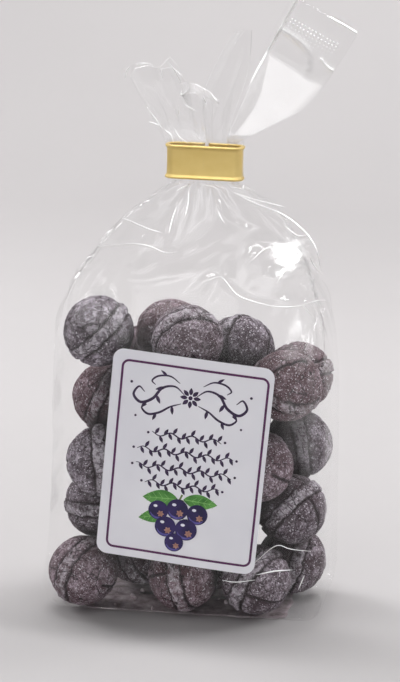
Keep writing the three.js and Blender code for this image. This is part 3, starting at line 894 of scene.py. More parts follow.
def bag_outline(height, columns):
    """Points and outward normals evenly spaced round the bag at a height, from the middle of the front."""
    middle, half_width, half_depth, corner = (np.interp(height, SECTION_HEIGHTS, s) for s in SECTION_SIZES)
    flat_x, flat_y = half_width - corner, half_depth - corner
    quarter = np.radians(np.linspace(0, 90, 9))
    loop = [[(0, -half_depth)]]
    for sign_x, sign_y, start in ((1, -1, -90), (1, 1, 0), (-1, 1, 90), (-1, -1, 180)):
        angle = math.radians(start) + quarter
        loop.append(np.stack([sign_x * flat_x + corner * np.cos(angle),
                              sign_y * flat_y + corner * np.sin(angle)], -1))
    loop = np.concatenate([*loop, [(0, -half_depth)]])
    length = np.concatenate([[0], np.cumsum(np.linalg.norm(np.diff(loop, axis=0), axis=1))])
    along = np.linspace(0, length[-1], columns, endpoint=False)
    points = np.stack([np.interp(along, length, loop[:, k]) for k in range(2)], -1)
    tangent = np.roll(points, -1, 0) - np.roll(points, 1, 0)
    tangent /= np.linalg.norm(tangent, axis=1)[:, None]
    points[:, 0] += middle
    return points, np.stack([tangent[:, 1], -tangent[:, 0]], -1), length[-1]


def rows_of_film(rows):
    """The length of film below each row, and the row's height on the bag's outline."""
    height = np.linspace(SECTION_HEIGHTS[0], CLIP_FOOT_HEIGHT, 400)
    wide, deep = (np.abs(np.diff(np.interp(height, SECTION_HEIGHTS, s))) for s in SECTION_SIZES[1:3])
    slope = 0.55 * wide + 0.45 * deep
    path = np.concatenate([[0], np.cumsum(np.hypot(np.diff(height), slope))])
    film = np.linspace(0, CLIP_HEAD, rows)
    below_clip = np.interp(film, path * CLIP_FOOT / path[-1], height)
    return film, np.where(film < CLIP_FOOT, below_clip, CLIP_FOOT_HEIGHT + film - CLIP_FOOT)


def film_widths(film, around):
    """Width of the film at each row: the shoulders are folded flat, so less of it shows there."""
    loose = around * (1 + SLACK)
    taut = FILM_WIDTH * (1 - TAUT * smooth_step(*TAUT_FROM, film))
    before, after = SHOULDER_EASE
    shown = taut + (loose - taut) * smooth_step(SHOULDER_FILM - before, SHOULDER_FILM + after, film)
    return shown + (NECK_WIDTH - shown) * smooth_step(CLIP_FOOT - GATHER_REACH, CLIP_FOOT, film)


def zigzag(share, count, rng):
    """Uneven pleats round the tube, from -1 to 1."""
    folds = 2 * count
    places = (np.arange(folds) + 0.5 * (rng.random(folds) - 0.5)) / folds
    ends = np.concatenate([places, [places[0] + 1]])
    peaks = np.where(np.arange(folds + 1) % 2 == 0, 1.0, -1.0)
    return np.interp(np.where(share < places[0], share + 1, share), ends, peaks)


def pleated_tube(rows, columns):
    """The film with even pleats in its shoulders, the bag's plain outline, and the rows' film and width."""
    rng = np.random.default_rng(7)
    film, height = rows_of_film(rows)
    outlines = [bag_outline(z, columns) for z in height]
    around = np.array([length for _, _, length in outlines])
    width = film_widths(film, around)
    share = np.arange(columns) / columns
    fine, broad = zigzag(share, PLEATS, rng), zigzag(share, WAVES, rng)
    wave_depth = np.where(film > SHOULDER_FILM, math.sqrt((1 + SLACK) ** 2 - 1) * around, 0) / (2 * WAVES)
    pleat_depth = np.sqrt(np.maximum(width**2 - (around * (1 + SLACK)) ** 2, 0)) / (2 * PLEATS)
    pleat_depth = np.where(film > CLIP_FOOT - GATHER_REACH, pleat_depth, 0)
    plain = np.array([np.column_stack([ring[0], np.full(columns, z)]) for ring, z in zip(outlines, height)])
    normal = np.array([np.column_stack([ring[1], np.zeros(columns)]) for ring in outlines])
    depth = (fine * pleat_depth[:, None] + broad * wave_depth[:, None]) / 2
    return plain + normal * depth[..., None], plain, film, width


def tighten(first, second, free_first, free_second, rest):
    """Moves pairs of points to their rest distance, each by its freedom to move."""
    gap = second - first
    length = np.sqrt(np.einsum("...k,...k->...", gap, gap)) + 1e-9
    share = STIFFNESS * (1 - rest / length) / (free_first + free_second + 1e-9)
    first += gap * (share * free_first)[..., None]
    second -= gap * (share * free_second)[..., None]


def tighten_round(x, free, rest):
    """Every edge round the tube, in two sets that share no point, then the edges of the seam."""
    for start in (0, 1):
        ends = x[:, start + 1::2]
        count = ends.shape[1]
        tighten(x[:, start::2][:, :count], ends, free[:, start::2][:, :count], free[:, start + 1::2],
                rest[:, start::2][:, :count])
    tighten(x[:, -1], x[:, 0], free[:, -1], free[:, 0], rest[:, -1])


def tighten_up(x, free, rest, slanted):
    """Every edge up the tube, then every diagonal, in sets of rows that share no point."""
    for start in (0, 1):
        above, free_above = x[start + 1::2], free[start + 1::2]
        count = above.shape[0]
        below, free_below = x[start::2][:count], free[start::2][:count]
        tighten(below, above, free_below, free_above, rest[start::2][:count])
        rightward, leftward = (lengths[start::2][:count] for lengths in slanted)
        for low, high, slant in (
            (slice(None, -1), slice(1, None), rightward), (-1, 0, rightward),
            (slice(1, None), slice(None, -1), leftward), (0, -1, leftward),
        ):
            tighten(below[:, low], above[:, high], free_below[:, low], free_above[:, high], slant[:, low])


def slant_lengths(plain, film, rest, up, way):
    """Lengths of the diagonals that lean one way: the plain outline's, or a pleat's near the clip."""
    smooth = np.linalg.norm(np.roll(plain[1:], way, 1) - plain[:-1], axis=-1) * (1 + SLACK / 2)
    near = smooth_step(CLIP_FOOT - GATHER_REACH, CLIP_FOOT, film[:-1])[:, None]
    return smooth + (np.hypot(rest[:-1], up) - smooth) * near


def unevenness(x):
    """How far each point stands from the middle of its neighbours."""
    apart = np.roll(x, 1, 1) + np.roll(x, -1, 1) - 2 * x
    apart[1:-1] += x[:-2] + x[2:] - 2 * x[1:-1]
    return apart


def nearest_sweets(x, count=3):
    distance = ((x.reshape(-1, 1, 3) - SWEET_CENTRES) ** 2).sum(-1)
    return np.argsort(distance, 1)[:, :count].reshape(*x.shape[:2], count)


def push_off_sweets(x, near):
    for k in range(near.shape[-1]):
        away = x - SWEET_CENTRES[near[..., k]]
        distance = np.sqrt(np.einsum("...k,...k->...", away, away)) + 1e-9
        x += away * (np.maximum(SWEET_RADIUS + FILM_GAP - distance, 0) / distance)[..., None]


def under_label(plain):
    across, up = plain[..., 0] - LABEL_MIDDLE[0], plain[..., 2] - LABEL_MIDDLE[1]
    turned_across = across * math.cos(LABEL_TURN) - up * math.sin(LABEL_TURN)
    turned_up = across * math.sin(LABEL_TURN) + up * math.cos(LABEL_TURN)
    half_width, half_height = (half + GLUE_EDGE for half in LABEL_HALF)
    within = (np.abs(turned_across) < half_width) & (np.abs(turned_up) < half_height)
    return within & (plain[..., 1] < 0)


def press_facet(plain, goal, hold, middle, reach, turn, tilt):
    """Gives the front points inside an uneven outline a place on a plane that faces one way."""
    across, up = plain[..., 0] - middle[0], plain[..., 2] - middle[1]
    angle = np.arctan2(up, across)
    edge = 1 + 0.35 * np.sin(3 * angle + middle[0]) + 0.2 * np.sin(7 * angle + middle[1])
    inside = ((across / reach[0]) ** 2 + (up / reach[1]) ** 2 < edge**2) & (plain[..., 1] < 0)
    facing = (math.sin(turn) * math.cos(tilt), -math.cos(turn) * math.cos(tilt), math.sin(tilt))
    back = plain[inside][:, 1].mean() - (facing[0] * across + facing[2] * up) / facing[1]
    goal[inside, 1] = back[inside]
    hold[inside] = FACET_HOLD


def press_folds(plain, goal, hold):
    """Gives points along each fold a place on a straight line to go to, and presses the dents in."""
    round_it = np.roll(plain, -1, 1) - np.roll(plain, 1, 1)
    normal = unit(np.cross(round_it, np.gradient(plain, axis=0)))

    def nearest(x, z, side):
        away = (plain[..., 0] - x) ** 2 + (plain[..., 2] - z) ** 2
        away[plain[..., 1] * side <= 0] = np.inf
        return np.unravel_index(np.argmin(away), away.shape)

    for side, folds in ((-1, FRONT_FOLDS), (1, BACK_FOLDS)):
        for x1, z1, x2, z2, lift in folds:
            first, last = nearest(x1, z1, side), nearest(x2, z2, side)
            start, end = plain[first] + lift * normal[first], plain[last] + lift * normal[last]
            for t in np.linspace(0, 1, int(np.linalg.norm(end - start) / FOLD_SPACING) + 1):
                at = nearest(x1 + (x2 - x1) * t, z1 + (z2 - z1) * t, side)
                goal[at], hold[at] = start + (end - start) * t, FOLD_HOLD
    for x, z, across, up, turn, tilt in FACETS:
        press_facet(plain, goal, hold, (x, z), (across, up), math.radians(turn), math.radians(tilt))
    for x, z, side, depth in DENTS:
        at = nearest(x, z, side)
        goal[at], hold[at] = plain[at] - depth * normal[at], FOLD_HOLD


def settle(x, plain, film, width, full_steps, quick_steps, memory, bend):
    """Lets the film find its folds: it keeps its lengths, clears the sweets and is held at both ends."""
    columns = x.shape[1]
    rest = np.repeat((width / columns)[:, None], columns, 1)
    up = np.linalg.norm(np.diff(plain, axis=0), axis=-1) * (1 + UP_SLACK)
    slanted = [slant_lengths(plain, film, rest, up, way) for way in (-1, 1)]
    held = (film[:, None] < PINNED_FOOT) | (film[:, None] > CLIP_FOOT) | under_label(plain)
    free = np.where(held, 0.0, 1.0)
    still = np.where((film[:, None] > CLIP_FOOT)[..., None], x, plain)
    hold = np.repeat((memory * np.interp(film, *MEMORY_HEIGHTS))[:, None], columns, 1)
    goal = plain.copy()
    press_folds(plain, goal, hold)
    movable = free[..., None]
    x = np.where(movable > 0, x, still)
    before = x.copy()
    for step in range(full_steps):
        if step % SWEETS_AGAIN == 0:
            near = nearest_sweets(x)
        speed = (x - before) * DAMPING
        before = x.copy()
        x += movable * (speed + hold[..., None] * (goal - x))
        tighten_round(x, free, rest)
        tighten_up(x, free, up, slanted)
        x -= movable * bend * unevenness(unevenness(x))
        push_off_sweets(x, near)
        x[..., 1] = np.clip(x[..., 1], -DEEPEST, DEEPEST)
        x = np.where(movable > 0, x, still)
    return x


def refined(x, rows, columns):
    """The same tube on a finer grid."""
    wrapped = np.concatenate([x, x[:, :1]], 1)
    at_column = np.arange(columns) * x.shape[1] / columns
    at_row = np.linspace(0, x.shape[0] - 1, rows)
    column = np.floor(at_column).astype(int)
    row = np.minimum(np.floor(at_row).astype(int), x.shape[0] - 2)
    beside, above = (at_column - column)[None, :, None], (at_row - row)[:, None, None]
    low = wrapped[row][:, column] * (1 - beside) + wrapped[row][:, column + 1] * beside
    high = wrapped[row + 1][:, column] * (1 - beside) + wrapped[row + 1][:, column + 1] * beside
    return low * (1 - above) + high * above


def settled_tube():
    rng = np.random.default_rng(11)
    pleated, plain, film, width = pleated_tube(FILM_ROWS // 2, FILM_COLUMNS // 2)
    pleated += UNEVEN_START * rng.standard_normal(pleated.shape)
    coarse = settle(pleated, plain, film, width, *COARSE_SETTLING)
    fine, plain, film, width = pleated_tube(FILM_ROWS, FILM_COLUMNS)
    start = np.where((film > CLIP_FOOT)[:, None, None], fine, refined(coarse, FILM_ROWS, FILM_COLUMNS))
    return settle(start, plain, film, width, *FINE_SETTLING)


def base_panel():
    """The folded bottom of the bag: it closes from its raised edge to a line along its middle."""
    foot, _, half_width, half_depth, _ = BAG_SECTIONS[0]
    edge, _, _ = bag_outline(foot, FILM_COLUMNS)
    half_line = half_width - half_depth
    middle = np.stack([np.clip(edge[:, 0], -half_line, half_line), np.zeros(FILM_COLUMNS)], -1)
    share = np.linspace(0, 1, BASE_ROWS)[:, None, None]
    flat = middle * (1 - share) + edge * share
    height = BASE_LIFT + (foot - BASE_LIFT) * smooth_step(*BASE_BEND, share)
    return np.concatenate([flat, np.broadcast_to(height, (*flat.shape[:2], 1))], -1)


# ------------------------------------------------------------------ loose sugar and crumbs on the bottom

SUGAR_DEPTH, SUGAR_SPREAD, SUGAR_EDGE = 0.3, 0.80, 0.05
SUGAR_LIFT, SUGAR_THICKNESS = 0.08, 0.08
CRUMBS, CRUMB_SIZES = 26, (0.35, 0.95)  # how many, and their smallest and greatest radius
CRUMBS_ACROSS, CRUMBS_DEEP = (-28, 22), (-14.5, 10)


def loose_sugar_material():
    look = Look("loose_sugar")
    dark, middling, light = (0.17, 0.13, 0.14), (0.36, 0.30, 0.32), (0.52, 0.46, 0.49)
    tone = look.ramp(look.noise(260.0, 5.0, 0.65), (0.35, dark), (0.55, middling), (0.7, light))
    grains = look.bump(look.noise(2400.0, 2.0), 0.8, 0.0001)
    return look.opaque(tone, 0.8, 0.3, Normal=grains)


def make_loose_sugar(material):
    """A thin uneven layer of rubbed-off sugar that lies on the bottom of the bag."""
    base = base_panel()
    layer = base[1:-1] * (SUGAR_SPREAD, SUGAR_SPREAD, 1.0)
    layer[..., :2] *= 1 + SUGAR_EDGE * layered_noise(base[-1:] * (1, 1, 0), 6.0, 311)[..., None]
    thinning = np.linspace(1, 0, len(layer))[:, None] ** 0.4
    heaps = np.clip(0.5 + layered_noise(layer, 5.0, 301), 0, 1)
    layer[..., 2] = BASE_LIFT + SUGAR_LIFT + SUGAR_DEPTH * thinning * heaps
    closed = np.concatenate([layer, layer[::-1] - (0, 0, SUGAR_THICKNESS)])
    piece = make_mesh("loose_sugar", closed.reshape(-1, 3), grid_faces(*closed.shape[:2], True))
    dress(piece, material)


def make_crumbs(material):
    """Broken bits of sweet between the sweets and the film, all in one mesh."""
    rng = np.random.default_rng(17)
    directions, ball_faces = ball(2)
    crumbs = Patches()
    while len(crumbs.points) < CRUMBS:
        radius = rng.uniform(*CRUMB_SIZES)
        middle = np.array([rng.uniform(*CRUMBS_ACROSS), rng.uniform(*CRUMBS_DEEP), 0.55 + 0.6 * radius])
        if np.linalg.norm(SWEET_CENTRES - middle, axis=1).min() < SWEET_RADIUS + 1.3 * radius:
            continue
        shape = directions * radius * (1 + 0.3 * layered_noise(directions + middle, 0.8, 401))[:, None]
        crumbs.add(middle + shape * rng.uniform(0.6, 1.2, 3), ball_faces)
    dress(make_mesh("crumbs", crumbs.all_points(), crumbs.faces), material)


# ------------------------------------------------------------------ the film above the clip


def crumple(across, up, facets, slope, seed):
    """Flat facets that meet in sharp ridges and valleys, about zero on average."""
    rng = np.random.default_rng(seed)
    height = 0.0
    for sign in (1, -1):
        planes = []
        for _ in range(facets):
            turn = rng.uniform(0, 2 * math.pi)
            tilt = slope * rng.uniform(0.5, 1.0)
            from_across = across - rng.uniform(across.min(), across.max())
            from_up = up - rng.uniform(up.min(), up.max())
            planes.append(tilt * (math.cos(turn) * from_across + math.sin(turn) * from_up))
        height = height + sign * np.max(planes, 0)
    return height - height.mean()


# The wide flap at the right: rows of five points (x, z) from the clip up to its mouth
FLAP_ROWS = [
    [(9.0, 119.0), (9.8, 119.0), (10.5, 119.0), (11.1, 119.0), (11.6, 119.0)],
    [(9.3, 123.6), (10.1, 123.6), (10.8, 123.5), (11.4, 123.4), (12.0, 123.3)],
    [(10.6, 128.0), (13.2, 127.5), (16.0, 127.3), (18.8, 127.4), (21.0, 128.2)],
    [(12.4, 133.2), (16.0, 132.0), (20.0, 130.8), (24.0, 130.4), (27.6, 131.6)],
    [(14.6, 138.6), (19.0, 137.0), (23.5, 135.6), (28.0, 134.8), (31.8, 136.0)],
    [(17.2, 143.8), (21.4, 142.2), (26.0, 140.5), (30.2, 139.2), (34.4, 139.6)],
    [(20.2, 149.0), (24.8, 147.0), (29.0, 145.3), (33.0, 143.8), (37.1, 143.7)],
    [(23.3, 154.3), (27.4, 152.4), (31.6, 150.4), (35.8, 148.5), (39.8, 147.8)],
    [(26.4, 159.5), (30.4, 157.6), (34.4, 155.6), (38.4, 153.7), (42.2, 151.8)],
]
FLAP_LEAN = (0.047, 0.682)  # how far back its smooth cone goes for each mm across and up
FLAP_MIDDLE = (22.0, 136.0, 1.0)  # x, z and depth of a point on that cone
FLAP_START = (121.5, 126.0)  # heights over which it leaves the clip
FLAP_WAVES = (0.10, 9.0, 71, 2)  # strength, size, seed and layers of its slight unevenness
# The cone's left edge, as height and x, and how far back the flap goes for each mm left of it
CONE_EDGE = [
    (118.0, 9.0), (126.4, 11.9), (128.6, 13.5), (132.0, 15.8), (136.0, 17.2), (140.3, 17.9), (147.0, 18.9),
]
CONE_EDGE_SLOPE = 0.6
CONE_TOP = (17.6, 144.5, 31.0, 137.5)  # the soft bend at its upper right, from x, z to x, z
CONE_TOP_SOFTNESS, CONE_TOP_BEND = 2.2, 1.05
# Small curls above the cone: height, half width and the x, z that each runs through
CURLS = [
    (0.9, 1.6, [(21.7, 151.0), (25.0, 149.3), (28.0, 146.9), (29.4, 144.2), (29.2, 141.5)]),
    (0.7, 0.7, [(32.3, 144.2), (34.0, 142.3), (35.5, 141.6)]),
]
CURL_FOLD, CURL_FOLD_WIDTH = 0.6, 0.6  # how sharply they are creased, and over what share of their width
# The narrow blade left of it: rows of five points
BLADE_ROWS = [
    [(3.4, -0.4, 119.0), (4.8, -0.6, 119.0), (6.2, -0.6, 119.0), (7.6, -0.6, 119.0), (9.0, -0.3, 119.0)],
    [(3.6, -0.3, 123.6), (5.0, -1.0, 123.6), (6.4, -0.6, 123.6), (7.8, -1.1, 123.6), (9.4, -0.3, 123.6)],
    [(3.4, -0.5, 129.0), (5.4, -1.8, 129.0), (7.2, -0.9, 128.8), (8.8, -1.9, 128.6), (10.7, -0.6, 128.2)],
    [(3.4, -0.6, 134.4), (5.8, -2.2, 134.6), (7.9, -1.1, 134.4), (9.9, -2.2, 134.0), (12.4, -0.8, 133.4)],
    [(5.2, -0.8, 139.0), (7.6, -2.3, 139.8), (9.6, -1.2, 139.8), (11.6, -2.0, 139.2), (14.0, -0.8, 138.6)],
    [(7.5, -0.9, 143.8), (9.6, -2.0, 144.6), (11.3, -1.2, 144.8), (13.0, -1.6, 144.4), (14.8, -0.8, 143.8)],
    [(9.6, -0.9, 147.8), (11.2, -1.6, 148.6), (12.6, -1.2, 148.8), (13.8, -1.2, 148.7), (15.1, -0.9, 148.4)],
    [(11.8, -0.9, 150.8), (12.6, -1.1, 151.2), (13.5, -1.1, 151.4), (14.3, -1.0, 151.5), (15.2, -0.9, 151.5)],
]
# The mouth of the crumpled lobe at the left, from its left tip along its front and back again
LOBE_MOUTH = [
    (-17.2, 0.0, 138.2), (-15.6, -3.2, 142.0), (-12.2, -4.8, 143.4), (-9.6, -3.0, 142.6), (-7.8, -4.6, 142.4),
    (-5.9, -3.4, 144.9), (-3.6, -2.2, 141.0), (-2.2, -2.8, 138.0), (-2.2, -1.6, 135.4), (0.4, -2.6, 136.2),
    (3.4, -1.4, 134.6), (5.0, 0.4, 133.0), (2.6, 2.2, 135.6), (-0.6, 3.0, 137.2), (-3.2, 2.0, 138.8),
    (-6.0, 3.8, 141.2), (-9.4, 4.6, 140.4), (-12.6, 3.2, 141.4), (-15.6, 2.6, 140.6),
]


LOBE_FOOT = (-0.8, 4.9, 1.0, 119.0)  # middle x, half width, half depth and height of its ring in the clip
LOBE_HEIGHT, LOBE_RIPPLE, LOBE_CRUMPLED = 22, 2.2, (0.12, 0.4)  # crumpled from one share of its height on
# How crumpled film is: number of facets, slope and seed
LOBE_FACETS, LOBE_CREASES, BLADE_FACETS = (9, 0.42, 91), (7, 0.5, 94), (5, 0.16, 81)
BLADE_WIDTH, BLADE_HEIGHT, BLADE_CRUMPLED = 11, 32, (3, 9)
FLAP_THICKNESS, BLADE_THICKNESS = 0.9, 1.6  # of the air between their two layers


def two_layers(front, thickness):
    """A flattened tube: the front grid, and a back one behind it that meets it at both sides."""
    share = np.linspace(0, 1, front.shape[1])
    apart = thickness * np.clip(np.sin(math.pi * share), 0, 1) ** 0.5
    normal = grid_normals(front)
    if normal[..., 1].mean() > 0:
        normal = -normal
    back = front - normal * apart[None, :, None]
    return np.concatenate([front, back[:, -2:0:-1]], 1)


def distance_from(places, x, z):
    """How far points of the front are from the curve through some places."""
    route = curve_points(places)
    return np.hypot(x[..., None] - route[:, 0], z[..., None] - route[:, 1]).min(-1)


def curl_fold(x, z):
    """How sharply the flap is creased at points of it, from 0 to 1: along its curls alone."""
    away = [distance_from(places, x, z) / (CURL_FOLD_WIDTH * width) for _, width, places in CURLS]
    return CURL_FOLD * np.exp(-np.min(away, 0) ** 2)


def flap_depth(x, z):
    """How far back the flap is: a smooth leaning cone, bent forward above it and back at its left."""
    depth = FLAP_MIDDLE[2] + FLAP_LEAN[0] * (x - FLAP_MIDDLE[0]) + FLAP_LEAN[1] * (z - FLAP_MIDDLE[1])
    x1, z1, x2, z2 = CONE_TOP
    beyond = ((x - x1) * (z1 - z2) + (z - z1) * (x2 - x1)) / math.hypot(x2 - x1, z2 - z1)
    depth -= CONE_TOP_BEND * (np.hypot(np.maximum(beyond, 0), CONE_TOP_SOFTNESS) - CONE_TOP_SOFTNESS)
    depth += CONE_EDGE_SLOPE * np.maximum(np.interp(z, *np.transpose(CONE_EDGE)) - x, 0)
    for height, half_width, places in CURLS:
        depth -= height * np.exp(-(distance_from(places, x, z) / half_width) ** 2)
    return depth * smooth_step(*FLAP_START, z)


def flap_front():
    """The flap's front layer as a grid of points."""
    x, z = np.moveaxis(spread(FLAP_ROWS, (140, 80)), -1, 0)
    y = flap_depth(x, z) + FLAP_WAVES[0] * layered_noise(np.stack([x, 0 * x, z], -1), *FLAP_WAVES[1:])
    return np.stack([x, y, z], -1)


def blade_grid():
    rows, columns = 64, 30
    grid = spread(BLADE_ROWS, (rows, columns))
    places = np.linspace(0, BLADE_HEIGHT, rows), np.linspace(0, BLADE_WIDTH, columns)
    up, across = np.meshgrid(*places, indexing="ij")
    ripple = crumple(across, up, *BLADE_FACETS) * smooth_step(*BLADE_CRUMPLED, up)
    return two_layers(grid + grid_normals(grid) * ripple[..., None], BLADE_THICKNESS)


def lobe_grid():
    """The crumpled lobe: a ring in the clip opened out to its uneven mouth."""
    rows, columns = 52, 150
    mouth = np.asarray(LOBE_MOUTH + LOBE_MOUTH[:1], float)
    length = np.concatenate([[0], np.cumsum(np.linalg.norm(np.diff(mouth, axis=0), axis=1))])
    along = np.linspace(0, length[-1], columns, endpoint=False)
    top = np.stack([np.interp(along, length, mouth[:, k]) for k in range(3)], -1)
    middle, half_width, half_depth, height = LOBE_FOOT
    turn = math.pi - along / length[-1] * 2 * math.pi
    foot_x, foot_y = middle + half_width * np.cos(turn), -half_depth * np.sin(turn)
    foot = np.stack([foot_x, foot_y, np.full(columns, height)], -1)
    share = np.linspace(0, 1, rows)[:, None, None]
    opened = 0.16 * share + 0.84 * share**1.25
    opened = np.concatenate([opened, opened, share], -1)
    grid = foot * (1 - opened) + top * opened
    up, around = np.meshgrid(LOBE_HEIGHT * share.ravel(), along, indexing="ij")
    from_tip = np.minimum(around, length[-1] - around)
    ripple = 0.6 * crumple(around, up, *LOBE_FACETS) + 0.4 * crumple(from_tip, up, *LOBE_CREASES)
    ripple = np.clip(ripple, -LOBE_RIPPLE, LOBE_RIPPLE) * smooth_step(*LOBE_CRUMPLED, share[..., 0])
    return grid + grid_normals(grid) * ripple[..., None]


HEM, FOLD_RIM, EDGE_RIM = 0.36, 0.24, 0.1  # radius of the hemmed, creased and cut edges of the tail
HEM_START, FLAP_CLEAR, BLADE_CLEAR = 60, 10, 8  # the rows from which they have those edges
RIM_SIDES = 6
BLADE_EDGE_FOLD, LOBE_EDGE_FOLD = 0.35, 0.3  # how sharply the cut edges are creased

# How much the film mirrors, from face on (0) to edge on (1)
MIRROR_SHARES = [(0.0, 0.028), (0.5, 0.05), (0.75, 0.13), (0.9, 0.30), (1.0, 0.55)]
FOLD_MIRROR = 0.85  # the share that a sharp crease mirrors
FILM_ROUGHNESS, FOLD_ROUGHNESS = 0.07, 0.35


def rim_tube(line, radius):
    """A hair-thin rolled edge along a line of points."""
    along = unit(np.gradient(line, axis=0))
    side = unit(np.cross(along, (0.3, 0.9, 0.1)))
    other = np.cross(along, side)
    turn = np.linspace(0, 2 * math.pi, RIM_SIDES, endpoint=False)[:, None]
    radius = np.broadcast_to(radius, len(line))[:, None, None]
    return line[:, None] + radius * (np.cos(turn) * side[:, None] + np.sin(turn) * other[:, None])


# Sharp creases in the front of the bag: their greatest radius, then the x, z that each runs through
CREASES = [
    (0.20, [(11.3, 110.9), (18.6, 107.4), (26.6, 103.8), (32.4, 98.7), (34.0, 92.4)]),
    (0.11, [(11.3, 110.9), (17.5, 108.8), (24.0, 107.2)]),
    (0.12, [(24.2, 102.8), (27.7, 100.6), (31.0, 101.0)]),
    (0.17, [(-18.0, 102.9), (-10.8, 101.5), (-6.4, 100.9)]),
    (0.10, [(-23.2, 96.2), (-11.7, 98.2), (-5.1, 96.4), (-1.8, 96.9)]),
    (0.16, [(-0.4, 112.0), (-2.2, 111.4), (-3.6, 110.5)]),
    (0.13, [(-0.3, 110.8), (-0.2, 108.0), (-0.6, 105.0)]),
    (0.15, [(-3.0, 107.3), (-3.9, 104.0), (-4.3, 101.0)]), (0.10, [(2.2, 112.3), (5.2, 111.8), (7.5, 111.0)]),
    (0.13, [(7.7, 106.4), (8.6, 104.8), (9.8, 103.3)]), (0.12, [(16.8, 94.8), (21.1, 97.7), (29.4, 96.1)]),
    (0.13, [(23.9, 90.0), (25.6, 92.6), (29.4, 96.1)]), (0.12, [(31.4, 95.6), (32.2, 93.5), (34.3, 91.5)]),
    (0.11, [(6.3, 90.1), (10.1, 90.7), (14.0, 87.4), (17.6, 86.1), (22.8, 84.9)]),
    (0.13, [(22.8, 84.9), (30.4, 84.5), (35.6, 85.0)]), (0.10, [(30.4, 84.5), (33.1, 81.5)]),
    (0.20, [(20.2, 15.0), (25.0, 16.3), (29.6, 16.9)]), (0.16, [(31.0, 11.5), (32.5, 15.4)]),
    (0.11, [(11.3, 13.0), (14.9, 12.7), (19.9, 13.6)]),
    (0.11, [(19.0, 17.5), (25.0, 23.0), (28.8, 22.5), (34.0, 21.7)]),
]
# Creases on the front of the lobe and the blade, given in the same way
TAIL_CREASES = [
    (0.16, [(-11.2, 130.4), (-9.6, 128.4), (-8.0, 126.0)]),
    (0.13, [(-11.4, 127.6), (-9.8, 127.2), (-8.4, 126.6)]),
    (0.11, [(-7.2, 125.6), (-5.6, 124.6), (-4.8, 122.6)]),
    (0.11, [(-4.6, 126.0), (-3.2, 124.0), (-1.0, 122.6)]),
    (0.14, [(-17.3, 138.7), (-16.9, 140.6), (-15.8, 141.8)]),
    (0.12, [(-13.5, 142.6), (-12.0, 143.0), (-10.6, 143.2)]),
    (0.10, [(-7.4, 142.0), (-7.0, 140.6), (-6.8, 139.4)]),
    (0.12, [(-5.2, 143.4), (-3.6, 141.0), (-2.4, 138.2)]),
    (0.14, [(-2.6, 136.2), (-2.4, 135.6), (-2.6, 134.8)]),
    (0.10, [(-3.4, 132.2), (-3.4, 131.0), (-3.4, 129.8)]),
    (0.12, [(-1.8, 132.6), (-0.4, 131.8), (1.0, 131.0)]), (0.14, [(3.2, 134.6), (3.6, 134.0), (3.8, 133.2)]),
]
CREASE_END, CREASE_LIFT = 0.03, 0.05
CREASE_EASE = 3  # its depth is evened out over this many points to either side


def crease(surface, radius, places):
    """A fine raised crease that lies on the front of the film and thins out towards both ends."""
    front = surface[surface[..., 1] < 0]
    route = curve_points(places)
    apart = (front[:, None, 0] - route[:, 0]) ** 2 + (front[:, None, 2] - route[:, 1]) ** 2
    nearest = np.argsort(apart, axis=0)[:4]
    depth = front[nearest, 1].min(0)
    depth = np.convolve(np.pad(depth, CREASE_EASE, "edge"), np.ones(2 * CREASE_EASE + 1), "valid")
    depth /= 2 * CREASE_EASE + 1
    taper = CREASE_END + (radius - CREASE_END) * np.sin(math.pi * np.linspace(0, 1, len(route))) ** 0.7
    return rim_tube(np.column_stack([route[:, 0], depth - CREASE_LIFT, route[:, 1]]), taper)


# Where the film lies double: how folded, half the width, then the x, z along the middle
DOUBLED_FILM = [
    (0.70, 5.2, [(26.5, 100.0), (26.0, 97.0), (26.8, 94.0), (25.0, 90.5)]),
    (0.17, 3.4, [(30.0, 84.0), (29.4, 76.0), (28.6, 68.0), (29.6, 58.0), (31.4, 46.0)]),
    (0.16, 2.0, [(33.2, 82.0), (33.0, 70.0), (33.6, 56.0), (33.4, 40.0)]),
    (0.13, 2.2, [(-31.0, 72.0), (-32.6, 60.0), (-32.0, 44.0), (-33.0, 28.0)]),
]
RIBBON_STEPS, RIBBON_COLUMNS, RIBBON_SMOOTHING = 8, 17, 4
RIBBON_LIFT, RIBBON_WAVER, RIBBON_ENDS = 0.25, 0.5, ((0, 0.2), (0.75, 1))


def doubled(surface, half_width, places):
    """A ribbon of film that lies on the front of the bag, and how far each point is from its edges."""
    front = surface[surface[..., 1] < 0][::2]
    route = curve_points(places, RIBBON_STEPS)
    across = np.linspace(-half_width, half_width, RIBBON_COLUMNS)
    waver = RIBBON_WAVER * layered_noise(np.column_stack([route, 0 * route[:, 0]]), 6.0, 83)
    x = route[:, :1] + across + waver[:, None]
    z = route[:, 1:] + 0 * across
    apart = (x[..., None] - front[:, 0]) ** 2 + (z[..., None] - front[:, 2]) ** 2
    depth = front[apart.argmin(-1), 1] - RIBBON_LIFT
    for _ in range(RIBBON_SMOOTHING):
        inner = (depth[:-2, 1:-1] + depth[2:, 1:-1] + depth[1:-1, :-2] + depth[1:-1, 2:]) / 4
        depth[1:-1, 1:-1] = np.minimum(inner, depth[1:-1, 1:-1])
    inside = np.cos(across / half_width * math.pi / 2) ** 1.5
    middle = inside * fading(len(route), *RIBBON_ENDS)[:, None]
    ribbon = np.stack([x, depth, z], -1)
    return ribbon, middle * smooth_step(-0.35, 0.25, layered_noise(ribbon, 3.5, 87))


